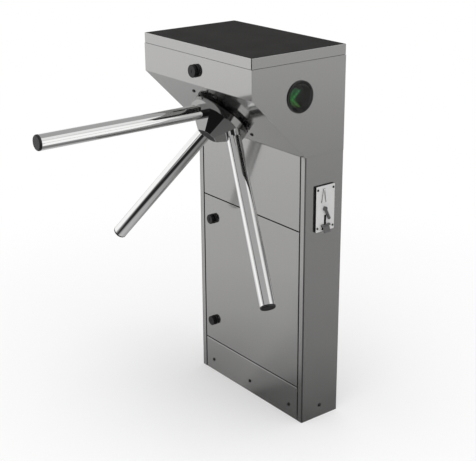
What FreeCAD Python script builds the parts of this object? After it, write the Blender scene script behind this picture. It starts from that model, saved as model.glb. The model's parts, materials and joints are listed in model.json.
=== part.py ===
import FreeCAD, Part
import math
import os

V = FreeCAD.Vector

# Cabinet: sizes in millimetres, angles in degrees
height = 1000.0
length = 444.0
head_depth = 292.0
pillar_depth = 125.0
lid_height = 25.0
brow_height = 73.0
chamfer_angle = 45.0
sheet = 1.5
edge_radius = 1.8
head_edge_radius = 0.4
seam = 1.0
neck_seam = 0.3
groove = 3.0
strip_width = 17.5
strip_fold = 14.0
panel_fold = 12.0
fold_relief = 26.0
kick_height = 97.0
door_height = 436.0
rim_width = 15.0

# Clearances between pieces, and how far a cutting tool runs past a face
running_fit = 0.05
seat_fit = 0.05
air = 0.3
tongue_gap = 1.0
over = 1.0

# Floor frame and its fixings
floor_plate = 15.0
upstand_thickness = 3.0
upstand_height = 58.0
upstand_length = 370.0
end_upstand_length = 60.0
post_width = 24.0
post_depth = 26.0
post_wall = 3.0
post_side = 4.0
post_back = 4.5
anchor_radius = 6.5
anchor_spacing_x = 340.0
anchor_spacing_y = 70.0
cable_hole_radius = 26.0
grommet_bore = 20.0
grommet_lip = 4.0
grommet_lip_height = 3.0
screw_height = 34.0
kick_screw_inset = 17.0
screw_radius = 3.0
screw_head_radius = 5.5
screw_head_height = 3.0
screw_length = 12.0

# Door pivots
pivot_inset = 6.0
pivot_pin_radius = 3.0
pivot_pin_reach = 6.0
pivot_block = 20.0
pivot_block_height = 12.0

# Cam locks
knob_radius = 13.5
knob_length = 10.5
lid_knob_radius = 16.0
lid_knob_length = 9.0
knob_chamfer = 1.2
knob_waist = 3.5
knob_waist_length = 2.0
keyway_width = 2.2
keyway_length = 9.0
keyway_depth = 2.0
lock_bezel_margin = 0.5
lock_bezel_thickness = 2.0
lock_sleeve_radius = 11.0
lock_nut_radius = 15.0
lock_nut_thickness = 5.0
lock_nut_sides = 6
barrel_radius = 8.0
tongue_width = 10.0
tongue_thickness = 3.0
lid_tongue_length = 26.0
lid_tongue_depth = 9.0
lid_lock_drop = 38.0
door_lock_inset = 38.5
door_lock_spread = 309.0
door_catch = 8.0

# Lid
top_panel = 4.0
corner_slit = 1.0
keeper_front = 8.5
keeper_leg = 14.5
keeper_side = 14.0
keeper_width = 10.0
keeper_sheet = 2.0
keeper_drop = 3.0
keeper_foot = 22.0
hinge_length = 380.0
hinge_knuckles = 7
knuckle_radius = 3.2
hinge_pin_radius = 1.6
hinge_leaf = 1.2
hinge_leaf_height = 18.0
knuckle_root = 1.3

# Direction lamps
lamp_drop = 84.0
lamp_bezel_radius = 39.5
lamp_bezel_proud = 3.0
lamp_bezel_rim = 3.0
lamp_lens_rise = 8.0
lamp_lens_wall = 3.0
lamp_lens_seat = 2.0
lamp_tube_step = 2.5
lamp_tube_wall = 2.5
lamp_depth = 28.0
lamp_board = 1.6
lamp_guide_gap = 1.5
lamp_led_radius = 2.0
lamp_led_proud = 0.8
chevron_tip = 29.0
chevron_drop = 4.0
chevron_rise = 21.0
chevron_run = 22.0
chevron_band = 13.0
chevron_leds = 3

# Coin unit
coin_drop = 139.5
coin_width = 61.0
coin_length = 120.0
coin_frame_depth = 4.0
coin_face = 2.0
coin_frame_margin = 4.5
coin_neck_depth = 22.0
coin_slot_width = 3.4
coin_slot_margin = 1.1
coin_slot_length = 24.0
coin_slot_drop = 32.0
arch_offset = -5.0
arch_width = 17.0
arch_crown = 6.0
arch_top = 52.0
arch_foot = 16.0
arch_rib = 2.4
arch_proud = 2.5
lever_offset = -2.0
lever_drop = 1.0
lever_length = 33.0
lever_width = 6.5
lever_thickness = 4.0
lever_lean = 26.5
lever_boss_radius = 6.0
lever_shaft_radius = 3.0
cup_top = 43.0
cup_bottom = 57.0
cup_depth = 20.0
flap_width = 21.0
flap_length = 19.0
flap_sheet = 1.5
flap_lean = 22.0
flap_pin_radius = 1.6
flap_pin_proud = 3.0
flap_lug = 3.0
flap_lug_radius = 3.0
acceptor_depth = 50.0
acceptor_width = 56.0
acceptor_length = 116.0
chute_back = 12.0
coin_box_inset = 36.0
coin_box_length = 80.0
coin_box_depth = 64.0
coin_box_height = 130.0
coin_box_gap = 17.5
coin_box_wall = 2.0

# Electrical equipment behind the service door
equipment_sheet = 2.0
equipment_stand = 9.0
equipment_left_gap = 22.5
equipment_right_gap = 4.5
equipment_foot_gap = 30.0
equipment_margin = 18.0
stand_radius = 6.0
shelf_lip = 6.0
shelf_margin = 4.0
supply_length = 160.0
supply_height = 110.0
supply_depth = 42.0
supply_margin = 10.0
board_length = 210.0
board_height = 150.0
board_margin = 10.0
board_rise = 200.0
board_thickness = 1.6
board_stand = 8.0
relay_count = 6
relay_size = 16.0
relay_pitch = 28.0
terminal_height = 14.0
terminal_depth = 12.0

# Hub, arms and shaft, measured along the hub's axis from the slanted face
arm_count = 3
arm_length = 537.0
arm_radius = 19.0
arm_wall = 2.0
arm_meeting = -20.0
arm_socket_floor = 2.0
arm_cap_length = 6.0
arm_cap_round = 3.5
arm_plug_length = 16.0
flange_thickness = 4.0
hub_radius = 79.0
hub_gap = 1.0
hub_point = 96.0
hub_front = 71.0
hub_cap_thickness = 3.0
hub_cap_margin = 2.0
facet_angles = (30.0, 60.0, 90.0)
flange_radius = 62.0
shaft_radius = 15.0
shaft_front = 60.0
shaft_tail_radius = 10.0
shaft_tail_proud = 6.0
cap_stem_radius = 14.0

# Bearings and housing
bearing_outer_radius = 31.0
bearing_width = 16.0
bearing_ring = 5.0
rear_bearing_radius = 21.0
rear_bearing_ring = 4.0
housing_wall = 11.0
housing_lip = 6.0
housing_bore_gap = 2.0
housing_tail = 4.0
bearing_span = 24.0
housing_flange_v = 92.0
housing_flange_u = 112.0
housing_flange = 8.0

# Mechanism plates
screw_u = 80.0
screw_v = 45.0
chassis_plate = 6.0
chassis_plate_v = 220.0
chassis_plate_u = 190.0
rear_plate_v = 264.0
rear_plate_low = -92.0
rear_plate_high = 100.0
rear_plate_gap = 10.0
rear_plate_thickness = 12.0
column_radius = 9.0
column_screw_depth = 20.0

# Gears
gear_module = 2.5
pressure_angle = 25.0
addendum = 0.9
dedendum = 1.2
backlash = 0.35
flank_points = 4
drive_teeth = 48
crank_teeth = 16
damper_teeth = 12
gear_width = 10.0
gear_gap = 6.0
gear_boss_step = 1.0
crank_stud_radius = 6.0
crank_collar_radius = 9.0
crank_collar = 2.0
crank_pin_throw = 13.0
crank_pin_radius = 3.0
crank_pin_length = 18.0
damper_radius = 24.0
damper_gap = 10.0
damper_shaft_radius = 5.0
damper_shaft_depth = 18.0

# Return spring
spring_post_drop = 78.0
spring_post_radius = 4.0
spring_wire = 0.9
spring_radius = 5.2
spring_turns = 8
spring_low = -64.0
spring_high = -28.0
spring_lead = 4.0
spring_gap = 12.0
spring_bend = 3.0

# Lock wheel, pawls and solenoids
lock_radius = 55.0
lock_root = 47.0
lock_notches = 12
lock_notch_share = 0.5
lock_gap = 8.0
lock_width = 8.0
lock_boss_wall = 7.0
pawl_pivot_v = 71.0
pawl_pivot_u = 46.0
pawl_stud_radius = 4.0
pawl_boss_radius = 9.0
pawl_arm = 10.0
pawl_nose = 7.0
pawl_clearance = 1.5
pawl_tail = 38.0
pawl_tail_width = 14.0
pawl_tail_end = 6.0
pawl_notch = 5.8
plunger_radius = 6.0
plunger_length = 52.0
plunger_nose = 5.0
plunger_slit = 16.0
plunger_slit_side = 0.4
plunger_pin_radius = 2.5
solenoid_front = 84.0
solenoid_length = 44.0
solenoid_height = 26.0
solenoid_depth = 28.0

# Position sensing at the back of the shaft
sensor_disc_radius = 42.0
sensor_disc_gap = 6.0
sensor_disc_thickness = 2.0
sensor_slot_width = 6.0
sensor_slot_depth = 9.0
sensor_slots = 3
sensor_fork_width = 12.0
sensor_fork_reach = 8.0
sensor_fork_arm = 3.0
sensor_fork_gap = 2.0
sensor_angle = 25.0
sensor_count = 2

# Positions that follow from the sizes above
x_end = length / 2
x_strip = x_end - strip_width
x_panel = x_strip - groove
y_front = -pillar_depth / 2
y_back = pillar_depth / 2
y_head = y_back - head_depth
y_head_centre = (y_head + y_back) / 2
chamfer = math.radians(chamfer_angle)
chamfer_run = head_depth - pillar_depth
chamfer_drop = chamfer_run * math.tan(chamfer)
z_lid = height - lid_height
z_rim = z_lid - seam
z_brow = z_lid - brow_height
z_neck = z_brow - chamfer_drop
z_pillar = z_neck - neck_seam
z_door = kick_height + groove
z_door_top = z_door + door_height
z_upper = z_door_top + groove
z_pillar_rim = z_pillar - sheet / 2
x_pivot = x_panel - pivot_inset
y_pivot = y_front + pivot_inset
x_door_lock = -(x_panel - door_lock_inset)
z_door_middle = z_door + door_height / 2
z_lid_lock = z_lid - lid_lock_drop
y_hinge = y_back + knuckle_radius + air
z_hinge = z_lid - seam / 2
z_lamp = z_lid - lamp_drop
lamp_lens_radius = lamp_bezel_radius - lamp_bezel_rim
lamp_tube_radius = lamp_lens_radius - lamp_tube_step
z_coin = z_neck - coin_drop
coin_neck_width = coin_width - 2 * coin_frame_margin
coin_neck_length = coin_length - 2 * coin_frame_margin
coin_front = coin_frame_depth + coin_face
coin_box_high = x_end - coin_box_inset
coin_box_low = coin_box_high - coin_box_length
coin_box_top = z_coin - acceptor_length / 2 - coin_box_gap
coin_box_floor = coin_box_top - coin_box_height
x_post = x_end - sheet - post_side
equipment_left = equipment_left_gap + post_width - x_post
equipment_right = x_post - post_width - equipment_right_gap
equipment_foot = z_door + equipment_foot_gap
equipment_top = coin_box_top
equipment_back = y_back - sheet - equipment_stand
equipment_front = equipment_back - equipment_sheet
hub_back = flange_thickness + hub_gap
arm_tilt = math.radians(90 - chamfer_angle)
arm_socket_depth = hub_back + arm_socket_floor + arm_radius * math.sin(arm_tilt) - arm_meeting
arm_socket = arm_socket_depth / math.cos(arm_tilt)
housing_radius = bearing_outer_radius + housing_wall
housing_back = housing_lip - flange_thickness + 2 * bearing_width + bearing_span + housing_tail
gear_front = housing_back + gear_gap
gear_back = gear_front + gear_width
lock_front = gear_back + lock_gap
lock_back = lock_front + lock_width
rear_plate_front = lock_back + rear_plate_gap
rear_plate_back = rear_plate_front + rear_plate_thickness
sensor_disc_front = rear_plate_back + sensor_disc_gap
sensor_disc_back = sensor_disc_front + sensor_disc_thickness
shaft_tail = sensor_disc_back + shaft_tail_proud
damper_back = gear_front - damper_gap
spring_plane = gear_front - spring_gap
crank_distance = gear_module * (drive_teeth + crank_teeth) / 2
damper_distance = gear_module * (drive_teeth + damper_teeth) / 2
plate_back = sheet + chassis_plate
hub_centre = V(0, y_front - chamfer_run / 2, z_neck + chamfer_drop / 2)
tilt = FreeCAD.Placement(hub_centre, FreeCAD.Rotation(V(1, 0, 0), 180 - chamfer_angle)).toMatrix()


# Shapes used again and again


def box(x, y, z):
    """A block between two values along each axis."""
    low = V(min(x), min(y), min(z))
    return Part.makeBox(abs(x[1] - x[0]), abs(y[1] - y[0]), abs(z[1] - z[0]), low)


def rod(radius, start, end):
    """A round bar between two points."""
    return Part.makeCylinder(radius, (end - start).Length, start, end - start)


def prism(points, sweep):
    """A closed outline swept along a vector."""
    return Part.Face(Part.makePolygon(points + points[:1])).extrude(sweep)


def join(first, *others):
    """Pieces welded into one solid."""
    return first.fuse(list(others)).removeSplitter()


def group(solids):
    """Separate solids kept together as one node."""
    return Part.makeCompound([solid for shape in solids for solid in shape.Solids])


def mirrored(shape):
    """The same shape on the other end of the turnstile."""
    return shape.mirror(V(0, 0, 0), V(1, 0, 0))


def rounded(shape, radius, wanted):
    """The shape with the edges that pass a test rounded."""
    return shape.makeFillet(radius, [edge for edge in shape.Edges if wanted(edge)])


def along(edge, axis):
    """True for a straight edge that runs along an axis."""
    ends = edge.Vertexes
    if len(ends) != 2:
        return False
    line = ends[1].Point - ends[0].Point
    return abs(abs(line.normalize().dot(axis)) - 1) < 1e-6


def tilted(shape):
    """From the hub's own frame, with Z out along its axis, to the cabinet's."""
    return shape.transformed(tilt)


def axial(radius, start, end, v=0.0, u=0.0):
    """A round bar along the hub's axis, in the hub's own frame."""
    return rod(radius, V(v, u, start), V(v, u, end))


# Cabinet


def base_frame():
    inner_x = x_strip - air
    wide_x = x_end - sheet
    low_y = y_front + sheet
    high_y = y_back - sheet
    top = floor_plate + upstand_height
    end_y = end_upstand_length / 2
    post = frame_post()
    frame = join(
        box((-inner_x, inner_x), (low_y, high_y), (0, floor_plate)),
        box((-wide_x, wide_x), (y_front + strip_fold + air, high_y), (0, floor_plate)),
        box((-upstand_length / 2, upstand_length / 2), (low_y, low_y + upstand_thickness), (0, top)),
        box((-upstand_length / 2, upstand_length / 2), (high_y - upstand_thickness, high_y), (0, top)),
        box((wide_x - upstand_thickness, wide_x), (-end_y, end_y), (0, top)),
        box((-wide_x, upstand_thickness - wide_x), (-end_y, end_y), (0, top)),
        post,
        mirrored(post),
    )
    holes = [axial(cable_hole_radius, -over, floor_plate + over)]
    for x in (-anchor_spacing_x / 2, anchor_spacing_x / 2):
        for y in (-anchor_spacing_y / 2, anchor_spacing_y / 2):
            holes.append(axial(anchor_radius, -over, floor_plate + over, x, y))
    holes += [rod(screw_radius + seat_fit, start, end) for start, end in screw_lines()]
    return frame.cut(holes)


def frame_post():
    """The square tube that stands in a rear corner and carries the pillar's rim."""
    left = x_post - post_width
    back = y_back - sheet - post_back
    front = back - post_depth
    outer = box((left, x_post), (front, back), (0, z_pillar_rim))
    inner = box((left + post_wall, x_post - post_wall), (front + post_wall, back - post_wall),
                (floor_plate, height))
    return outer.cut(inner)


def screw_lines():
    """Head seat and tip of each kick panel screw and pillar end screw."""
    lines = []
    reach = upstand_length / 2 - kick_screw_inset
    for x in (-reach, 0, reach):
        lines.append((V(x, y_front, screw_height), V(x, y_front + screw_length, screw_height)))
    for side in (-1, 1):
        start = V(side * x_end, 0, screw_height)
        lines.append((start, start - V(side * screw_length, 0, 0)))
    return lines


def cabinet_screws():
    screws = []
    for start, end in screw_lines():
        out = (start - end).normalize()
        head = Part.makeCone(screw_head_radius, screw_radius, screw_head_height, start, out)
        screws.append(join(rod(screw_radius, start, end), head))
    return group(screws)


def cable_grommet():
    top = floor_plate + grommet_lip_height
    ring = join(
        axial(cable_hole_radius - seat_fit, 0, floor_plate),
        axial(cable_hole_radius + grommet_lip, floor_plate, top),
    )
    return ring.cut(axial(grommet_bore, -over, top + over))


def pillar_shell():
    outer = box((-x_end, x_end), (y_front, y_back), (0, z_pillar))
    outer = rounded(outer, edge_radius, lambda edge: along(edge, V(0, 0, 1)))
    inner_x = x_end - sheet
    shell = outer.cut([
        box((-inner_x, inner_x), (y_front + sheet, y_back - sheet), (-over, height)),
        box((-x_strip, x_strip), (y_front - over, 0), (-over, height)),
    ])
    rim = box((-inner_x, inner_x), (y_front + sheet, y_back - sheet), (z_pillar_rim, z_neck)).cut(
        box((rim_width - inner_x, inner_x - rim_width),
            (y_front + sheet + rim_width, y_back - sheet - rim_width), (0, height)))
    lips = [
        box((side * x_strip, side * (x_strip + sheet)), (y_front, y_front + strip_fold), (0, z_pillar_rim))
        for side in (-1, 1)
    ]
    screws = [rod(screw_radius + seat_fit, start, end) for start, end in screw_lines()]
    opening = box((0, x_end + over), (-coin_neck_width / 2, coin_neck_width / 2),
                  (z_coin - coin_neck_length / 2, z_coin + coin_neck_length / 2))
    return join(shell, rim, *lips).cut(screws + [opening])


def panel(low, high, sides_from, folds):
    """A flush front panel with inward folds along its edges."""
    face = box((-x_panel, x_panel), (y_front, y_front + sheet), (low, high))
    face = rounded(face, sheet / 2, lambda edge: edge.CenterOfMass.y < y_front + sheet / 4)
    deep = (y_front + sheet / 2, y_front + panel_fold)
    relief = x_panel - fold_relief
    pieces = {
        "left": box((-x_panel, sheet - x_panel), deep, (sides_from, high - sheet)),
        "right": box((x_panel - sheet, x_panel), deep, (sides_from, high - sheet)),
        "bottom": box((-relief, relief), deep, (low, low + sheet)),
        "top": box((-relief, relief), deep, (high - sheet, high)),
    }
    return join(face, *[pieces[name] for name in folds])


def upper_front_panel():
    return panel(z_upper, z_pillar, z_upper + fold_relief, ("left", "right", "bottom"))


def kick_panel():
    holes = [rod(screw_radius + seat_fit, start, end) for start, end in screw_lines()]
    return panel(0, kick_height, 0, ("top",)).cut(holes)


def door_pivots():
    top = z_upper + sheet
    low = kick_height - sheet
    deep = (y_front + sheet + air, y_front + sheet + air + pivot_block)
    wide = (x_strip - pivot_block, x_strip)
    upper = join(
        box(wide, deep, (top, top + pivot_block_height)),
        rod(pivot_pin_radius, V(x_pivot, y_pivot, top), V(x_pivot, y_pivot, z_door_top - pivot_pin_reach)),
    )
    lower = join(
        box(wide, deep, (low - pivot_block_height, low)),
        rod(pivot_pin_radius, V(x_pivot, y_pivot, low), V(x_pivot, y_pivot, z_door + pivot_pin_reach)),
    )
    return group([upper, lower])


def head_shell():
    def across(points):
        return [V(-x_end, y, z) for y, z in points]

    outer = prism(across([
        (y_back, z_neck), (y_back, z_rim), (y_head, z_rim), (y_head, z_brow), (y_front, z_neck),
    ]), V(length, 0, 0))
    outer = rounded(outer, head_edge_radius, folded_edge)
    inner_z = z_neck + (sheet + (y_front - y_head - sheet) * math.sin(chamfer)) / math.cos(chamfer)
    inner_y = y_front + (sheet + seam * math.cos(chamfer)) / math.sin(chamfer)
    inner = prism([point + V(sheet, 0, 0) for point in across([
        (y_back - sheet, z_neck - seam), (y_back - sheet, height), (y_head + sheet, height),
        (y_head + sheet, inner_z), (inner_y, z_neck - seam),
    ])], V(length - 2 * sheet, 0, 0))
    inner_x = x_end - sheet
    rim_front = y_front + 2 * sheet
    rim = box((-inner_x, inner_x), (rim_front, y_back - sheet), (z_neck, z_neck + sheet)).cut(
        box((rim_width - inner_x, inner_x - rim_width),
            (rim_front + rim_width, y_back - sheet - rim_width), (0, height)))
    holes = [tilted(axial(housing_radius + air, -plate_back, sheet))]
    holes += [tilted(axial(screw_radius + seat_fit, -plate_back, sheet, v, u)) for v, u in screw_places()]
    holes.append(rod(lock_sleeve_radius + seat_fit, V(0, y_head - over, z_lid_lock),
                     V(0, y_head + keeper_front, z_lid_lock)))
    holes.append(rod(lamp_tube_radius + air, V(-length, y_head_centre, z_lamp),
                     V(length, y_head_centre, z_lamp)))
    return join(outer.cut(inner), rim).cut(holes)


def folded_edge(edge):
    """Edges of the head where the sheet is folded, not those of its open top and bottom."""
    middle = edge.CenterOfMass
    return z_neck + seam < middle.z < z_rim - seam


def screw_places():
    """The four mechanism screws, across and up the slanted face."""
    return [(v, u) for v in (-screw_v, screw_v) for u in (-screw_u, screw_u)]


# Lid and its hinge


def lid_tray():
    inner_x = x_end - sheet
    inner_y = (y_head + sheet, y_back - sheet)
    deck = height - top_panel
    skirt = box((-x_end, x_end), (y_head, y_back), (z_lid, height)).cut(
        box((-inner_x, inner_x), inner_y, (0, 2 * height)))
    corners = [
        box((side * (inner_x - corner_slit), side * (x_end + over)), (edge, edge + reach), (0, 2 * height))
        for side in (-1, 1)
        for edge, reach in ((y_head, sheet), (y_back, -sheet))
    ]
    sheet_top = box((-inner_x, inner_x), inner_y, (deck - sheet, deck))
    return join(skirt.cut(corners), sheet_top)


def lid_keeper():
    """The bracket under the lid that the lock's tongue turns into."""
    top = height - top_panel - sheet
    lip_top = z_lid_lock - tongue_width / 2 - keeper_drop
    wide = (keeper_side, keeper_side + keeper_width)
    leg_y = y_head + keeper_leg
    return join(
        box(wide, (leg_y, leg_y + keeper_foot), (top - keeper_sheet, top)),
        box(wide, (leg_y, leg_y + keeper_sheet), (lip_top - keeper_sheet, top)),
        box(wide, (y_head + keeper_front, leg_y), (lip_top - keeper_sheet, lip_top)),
    )


def lid_top_panel():
    half = x_end - sheet - seat_fit
    deep = (y_head + sheet + seat_fit, y_back - sheet - seat_fit)
    slab = box((-half, half), deep, (height - top_panel, height))
    return rounded(slab, sheet / 2, lambda edge: edge.CenterOfMass.z > height - sheet / 4)


def hinge_leaf_with(knuckles, up):
    """One leaf of the lid's hinge, with its own share of the knuckles."""
    pitch = hinge_length / hinge_knuckles
    near = z_hinge + up * (knuckle_radius + air)
    leaf = box((-hinge_length / 2, hinge_length / 2), (y_back, y_back + hinge_leaf),
               (near, near + up * hinge_leaf_height))
    pieces = []
    for index in knuckles:
        start = -hinge_length / 2 + index * pitch + air
        end = start + pitch - 2 * air
        barrel = rod(knuckle_radius, V(start, y_hinge, z_hinge), V(end, y_hinge, z_hinge))
        web = box((start, end), (y_back, y_hinge), (z_hinge + up * knuckle_root, near)).cut(
            rod(knuckle_radius - hinge_leaf, V(start, y_hinge, z_hinge), V(end, y_hinge, z_hinge)))
        pieces += [barrel, web]
    return join(leaf, *pieces)


def lid_hinge_fixed_leaf():
    pin = rod(hinge_pin_radius, V(-hinge_length / 2, y_hinge, z_hinge), V(hinge_length / 2, y_hinge, z_hinge))
    return join(hinge_leaf_with(range(0, hinge_knuckles, 2), -1), pin)


def lid_hinge_moving_leaf():
    bore = rod(hinge_pin_radius + running_fit, V(-length, y_hinge, z_hinge), V(length, y_hinge, z_hinge))
    return hinge_leaf_with(range(1, hinge_knuckles, 2), 1).cut(bore)


# Service door and cam locks


def service_door():
    pins = rod(pivot_pin_radius + running_fit, V(x_pivot, y_pivot, 0), V(x_pivot, y_pivot, height))
    holes = [pins]
    for z in door_lock_heights():
        holes.append(rod(lock_sleeve_radius + seat_fit, V(x_door_lock, y_front - over, z),
                         V(x_door_lock, y_front + panel_fold, z)))
    face = panel(z_door, z_door_top, z_door + sheet, ("left", "right"))
    deep = (y_front + sheet / 2, y_front + panel_fold)
    sill = box((-x_panel, x_panel), deep, (z_door, z_door + sheet))
    lintel = box((-x_panel, x_panel), deep, (z_door_top - sheet, z_door_top))
    return join(face, sill, lintel).cut(holes)


def door_lock_heights():
    """Heights of the lower and the upper lock."""
    return z_door_middle - door_lock_spread / 2, z_door_middle + door_lock_spread / 2


def lock_housing(x, y, z, radius):
    """Bezel, sleeve and nut of a cam lock, clamped on a sheet whose front is at y."""
    back = y + sheet + lock_nut_thickness
    nut = prism([
        V(x + lock_nut_radius * math.cos(turn), y + sheet, z + lock_nut_radius * math.sin(turn))
        for turn in (2 * math.pi * side / lock_nut_sides for side in range(lock_nut_sides))
    ], V(0, lock_nut_thickness, 0))
    body = join(
        rod(radius + lock_bezel_margin, V(x, y - lock_bezel_thickness, z), V(x, y, z)),
        rod(lock_sleeve_radius, V(x, y, z), V(x, back, z)),
        nut,
    )
    return body.cut(rod(barrel_radius + running_fit, V(x, y - height, z), V(x, y + height, z)))


def cam_lock(x, y, z, radius, knob_depth, tongue_length, tongue_depth):
    """Knob with a waist, barrel and tongue of a cam lock, turned to open."""
    seat = y - lock_bezel_thickness - air
    tip = y + tongue_depth + tongue_thickness
    front = seat - knob_depth
    waist = seat - knob_waist_length
    head = rod(radius, V(x, front, z), V(x, waist, z))
    head = head.makeChamfer(knob_chamfer, [edge for edge in head.Edges if edge.Closed])
    knob = join(head, rod(radius - knob_waist, V(x, waist, z), V(x, seat, z)))
    keyway = box((x - keyway_width / 2, x + keyway_width / 2), (front, front + keyway_depth),
                 (z - keyway_length / 2, z + keyway_length / 2))
    half = tongue_width / 2
    tongue = box((x - half, x + half), (y + tongue_depth, tip), (z - half, z + tongue_length))
    return join(knob, rod(barrel_radius, V(x, seat, z), V(x, tip, z)), tongue).cut(keyway)


def lid_lock_housing():
    return lock_housing(0, y_head, z_lid_lock, lid_knob_radius)


def door_lock_housings():
    return group([lock_housing(x_door_lock, y_front, z, knob_radius) for z in door_lock_heights()])


def lid_lock():
    return cam_lock(0, y_head, z_lid_lock, lid_knob_radius, lid_knob_length,
                    lid_tongue_length, lid_tongue_depth)


def door_lock(z):
    reach = door_lock_inset + groove + door_catch
    return cam_lock(x_door_lock, y_front, z, knob_radius, knob_length, reach, strip_fold + tongue_gap)


# Direction lamps, one on each end of the head


def lamp_point(depth, across=0.0, up=0.0):
    """A point on a lamp's face, measured outwards from the head's end."""
    return V(x_end + depth, y_head_centre + across, z_lamp + up)


def both_ends(shape):
    return group([shape, mirrored(shape)])


def indicator_bezels():
    inside = lamp_tube_radius - lamp_tube_wall
    cup = join(
        rod(lamp_bezel_radius, lamp_point(0), lamp_point(lamp_bezel_proud)),
        rod(lamp_tube_radius, lamp_point(-lamp_depth), lamp_point(0)),
    )
    return both_ends(cup.cut([
        rod(inside, lamp_point(lamp_tube_wall - lamp_depth), lamp_point(lamp_bezel_proud)),
        rod(lamp_lens_radius + seat_fit, lamp_point(lamp_bezel_proud - lamp_lens_seat), lamp_point(height)),
    ]))


def dome(radius, rise, base):
    """A shallow dome standing on a round base that faces outwards."""
    ball = (radius * radius + rise * rise) / (2 * rise)
    centre = base - V(ball - rise, 0, 0)
    return Part.makeSphere(ball, centre).common(rod(radius, base, base + V(ball, 0, 0)))


def indicator_lenses():
    seat = lamp_point(lamp_bezel_proud - lamp_lens_seat)
    rim = seat + V(lamp_lens_seat, 0, 0)
    inner = lamp_lens_radius - lamp_lens_wall
    shell = join(rod(lamp_lens_radius, seat, rim), dome(lamp_lens_radius, lamp_lens_rise, rim))
    hollow = [rod(inner, seat, rim), dome(inner, lamp_lens_rise - lamp_lens_wall, rim)]
    return both_ends(shell.cut(hollow))


def indicator_leds():
    """The lamps' boards, each with a clear arrow-shaped block and a row of lamps along both of its arms."""
    inside = lamp_tube_radius - lamp_tube_wall - seat_fit
    floor = lamp_tube_wall - lamp_depth
    top = -lamp_guide_gap
    board = rod(inside, lamp_point(floor), lamp_point(floor + lamp_board))
    ends = chevron_run - chevron_tip
    arrow = prism([lamp_point(floor, across, up - chevron_drop) for across, up in (
        (-chevron_tip, 0.0), (ends, chevron_rise), (ends + chevron_band, chevron_rise),
        (chevron_band - chevron_tip, 0.0), (ends + chevron_band, -chevron_rise), (ends, -chevron_rise),
    )], V(top - floor, 0, 0))
    middle = chevron_band / 2 - chevron_tip
    share = 1 / (chevron_leds + 0.5)
    places = [(middle, -chevron_drop)] + [
        (middle + step * share * chevron_run, side * step * share * chevron_rise - chevron_drop)
        for step in range(1, chevron_leds + 1)
        for side in (-1, 1)
    ]
    leds = [
        rod(lamp_led_radius, lamp_point(floor, across, up), lamp_point(top + lamp_led_proud, across, up))
        for across, up in places
    ]
    return both_ends(join(board, arrow, *leds))


# Coin unit on the pillar's end


def coin_block(x, across, up):
    """A block of the coin unit, measured outwards, across and up from its centre."""
    return box((x_end + x[0], x_end + x[1]), across, (z_coin + up[0], z_coin + up[1]))


def coin_point(x, across, up):
    return V(x_end + x, across, z_coin + up)


def coin_frame():
    half_w = coin_width / 2
    half_l = coin_length / 2
    neck_w = coin_neck_width / 2
    neck_l = coin_neck_length / 2
    body = join(
        coin_block((0, coin_frame_depth), (-half_w, half_w), (-half_l, half_l)),
        coin_block((-coin_neck_depth, 0), (-neck_w, neck_w), (-neck_l, neck_l)),
    )
    return body.cut([coin_slot(), coin_cup(), lever_shaft(running_fit)])


def coin_slot(margin=0.0):
    half_w = coin_slot_width / 2 + margin
    half_l = coin_slot_length / 2 + margin
    middle = -coin_slot_drop
    return coin_block((-coin_neck_depth - over, coin_front + over), (-half_w, half_w),
                      (middle - half_l, middle + half_l))


def coin_cup():
    half = flap_width / 2 + air
    deep = (coin_frame_depth - cup_depth, coin_front + over)
    return coin_block(deep, (-half, half), (-cup_bottom, -cup_top))


def lever_shaft(clearance=0.0):
    start = coin_point(-coin_neck_depth / 2, lever_offset, -lever_drop)
    end = coin_point(coin_front + air, lever_offset, -lever_drop)
    return rod(lever_shaft_radius + clearance, start, end)


def coin_faceplate():
    half_w = coin_width / 2
    half_l = coin_length / 2
    plate = coin_block((coin_frame_depth, coin_front), (-half_w, half_w), (-half_l, half_l))
    plate = rounded(plate, coin_face, lambda edge: along(edge, V(1, 0, 0)))
    lugs = []
    pin = flap_pin_line()
    for side in (-1, 1):
        inner = side * (flap_width / 2 + air)
        outer = inner + side * flap_lug
        lugs.append(box((x_end + coin_front, pin[0].x), (inner, outer),
                        (pin[0].z - flap_lug_radius, pin[0].z + flap_lug_radius)))
        lugs.append(rod(flap_lug_radius, V(pin[0].x, inner, pin[0].z), V(pin[0].x, outer, pin[0].z)))
    holes = [coin_slot(coin_slot_margin), coin_cup(), lever_shaft(running_fit)]
    holes.append(rod(flap_pin_radius + running_fit, *pin))
    return join(plate, coin_arch(), *lugs).cut(holes)


def coin_arch():
    """The raised pointed arch over the coin entry."""
    def arched(margin, foot, top, proud):
        low = arch_width / 2 - margin
        high = arch_crown / 2 - margin
        return prism([coin_point(coin_front, arch_offset + across, up) for across, up in (
            (-low, foot), (-high, top), (high, top), (low, foot),
        )], V(proud, 0, 0))

    inner = arched(arch_rib, arch_foot - over, arch_top - arch_rib, arch_proud + over)
    return arched(0.0, arch_foot, arch_top, arch_proud).cut(inner)


def coin_return_lever():
    hub = coin_point(coin_front + air, lever_offset, -lever_drop)
    bar = box((hub.x, hub.x + lever_thickness), (hub.y - lever_width / 2, hub.y + lever_width / 2),
              (hub.z - lever_length, hub.z))
    tip = hub.z - lever_length / 2
    bar = rounded(bar, lever_width / 3, lambda edge: along(edge, V(1, 0, 0)) and edge.CenterOfMass.z < tip)
    bar.rotate(hub, V(1, 0, 0), lever_lean)
    boss = rod(lever_boss_radius, hub, hub + V(lever_thickness, 0, 0))
    return join(bar, boss, lever_shaft())


def flap_pin_line():
    """The two ends of the return flap's pin."""
    x = coin_front + flap_pin_proud
    up = -cup_top - flap_pin_radius
    reach = flap_width / 2 + air + flap_lug
    return coin_point(x, -reach, up), coin_point(x, reach, up)


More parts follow.
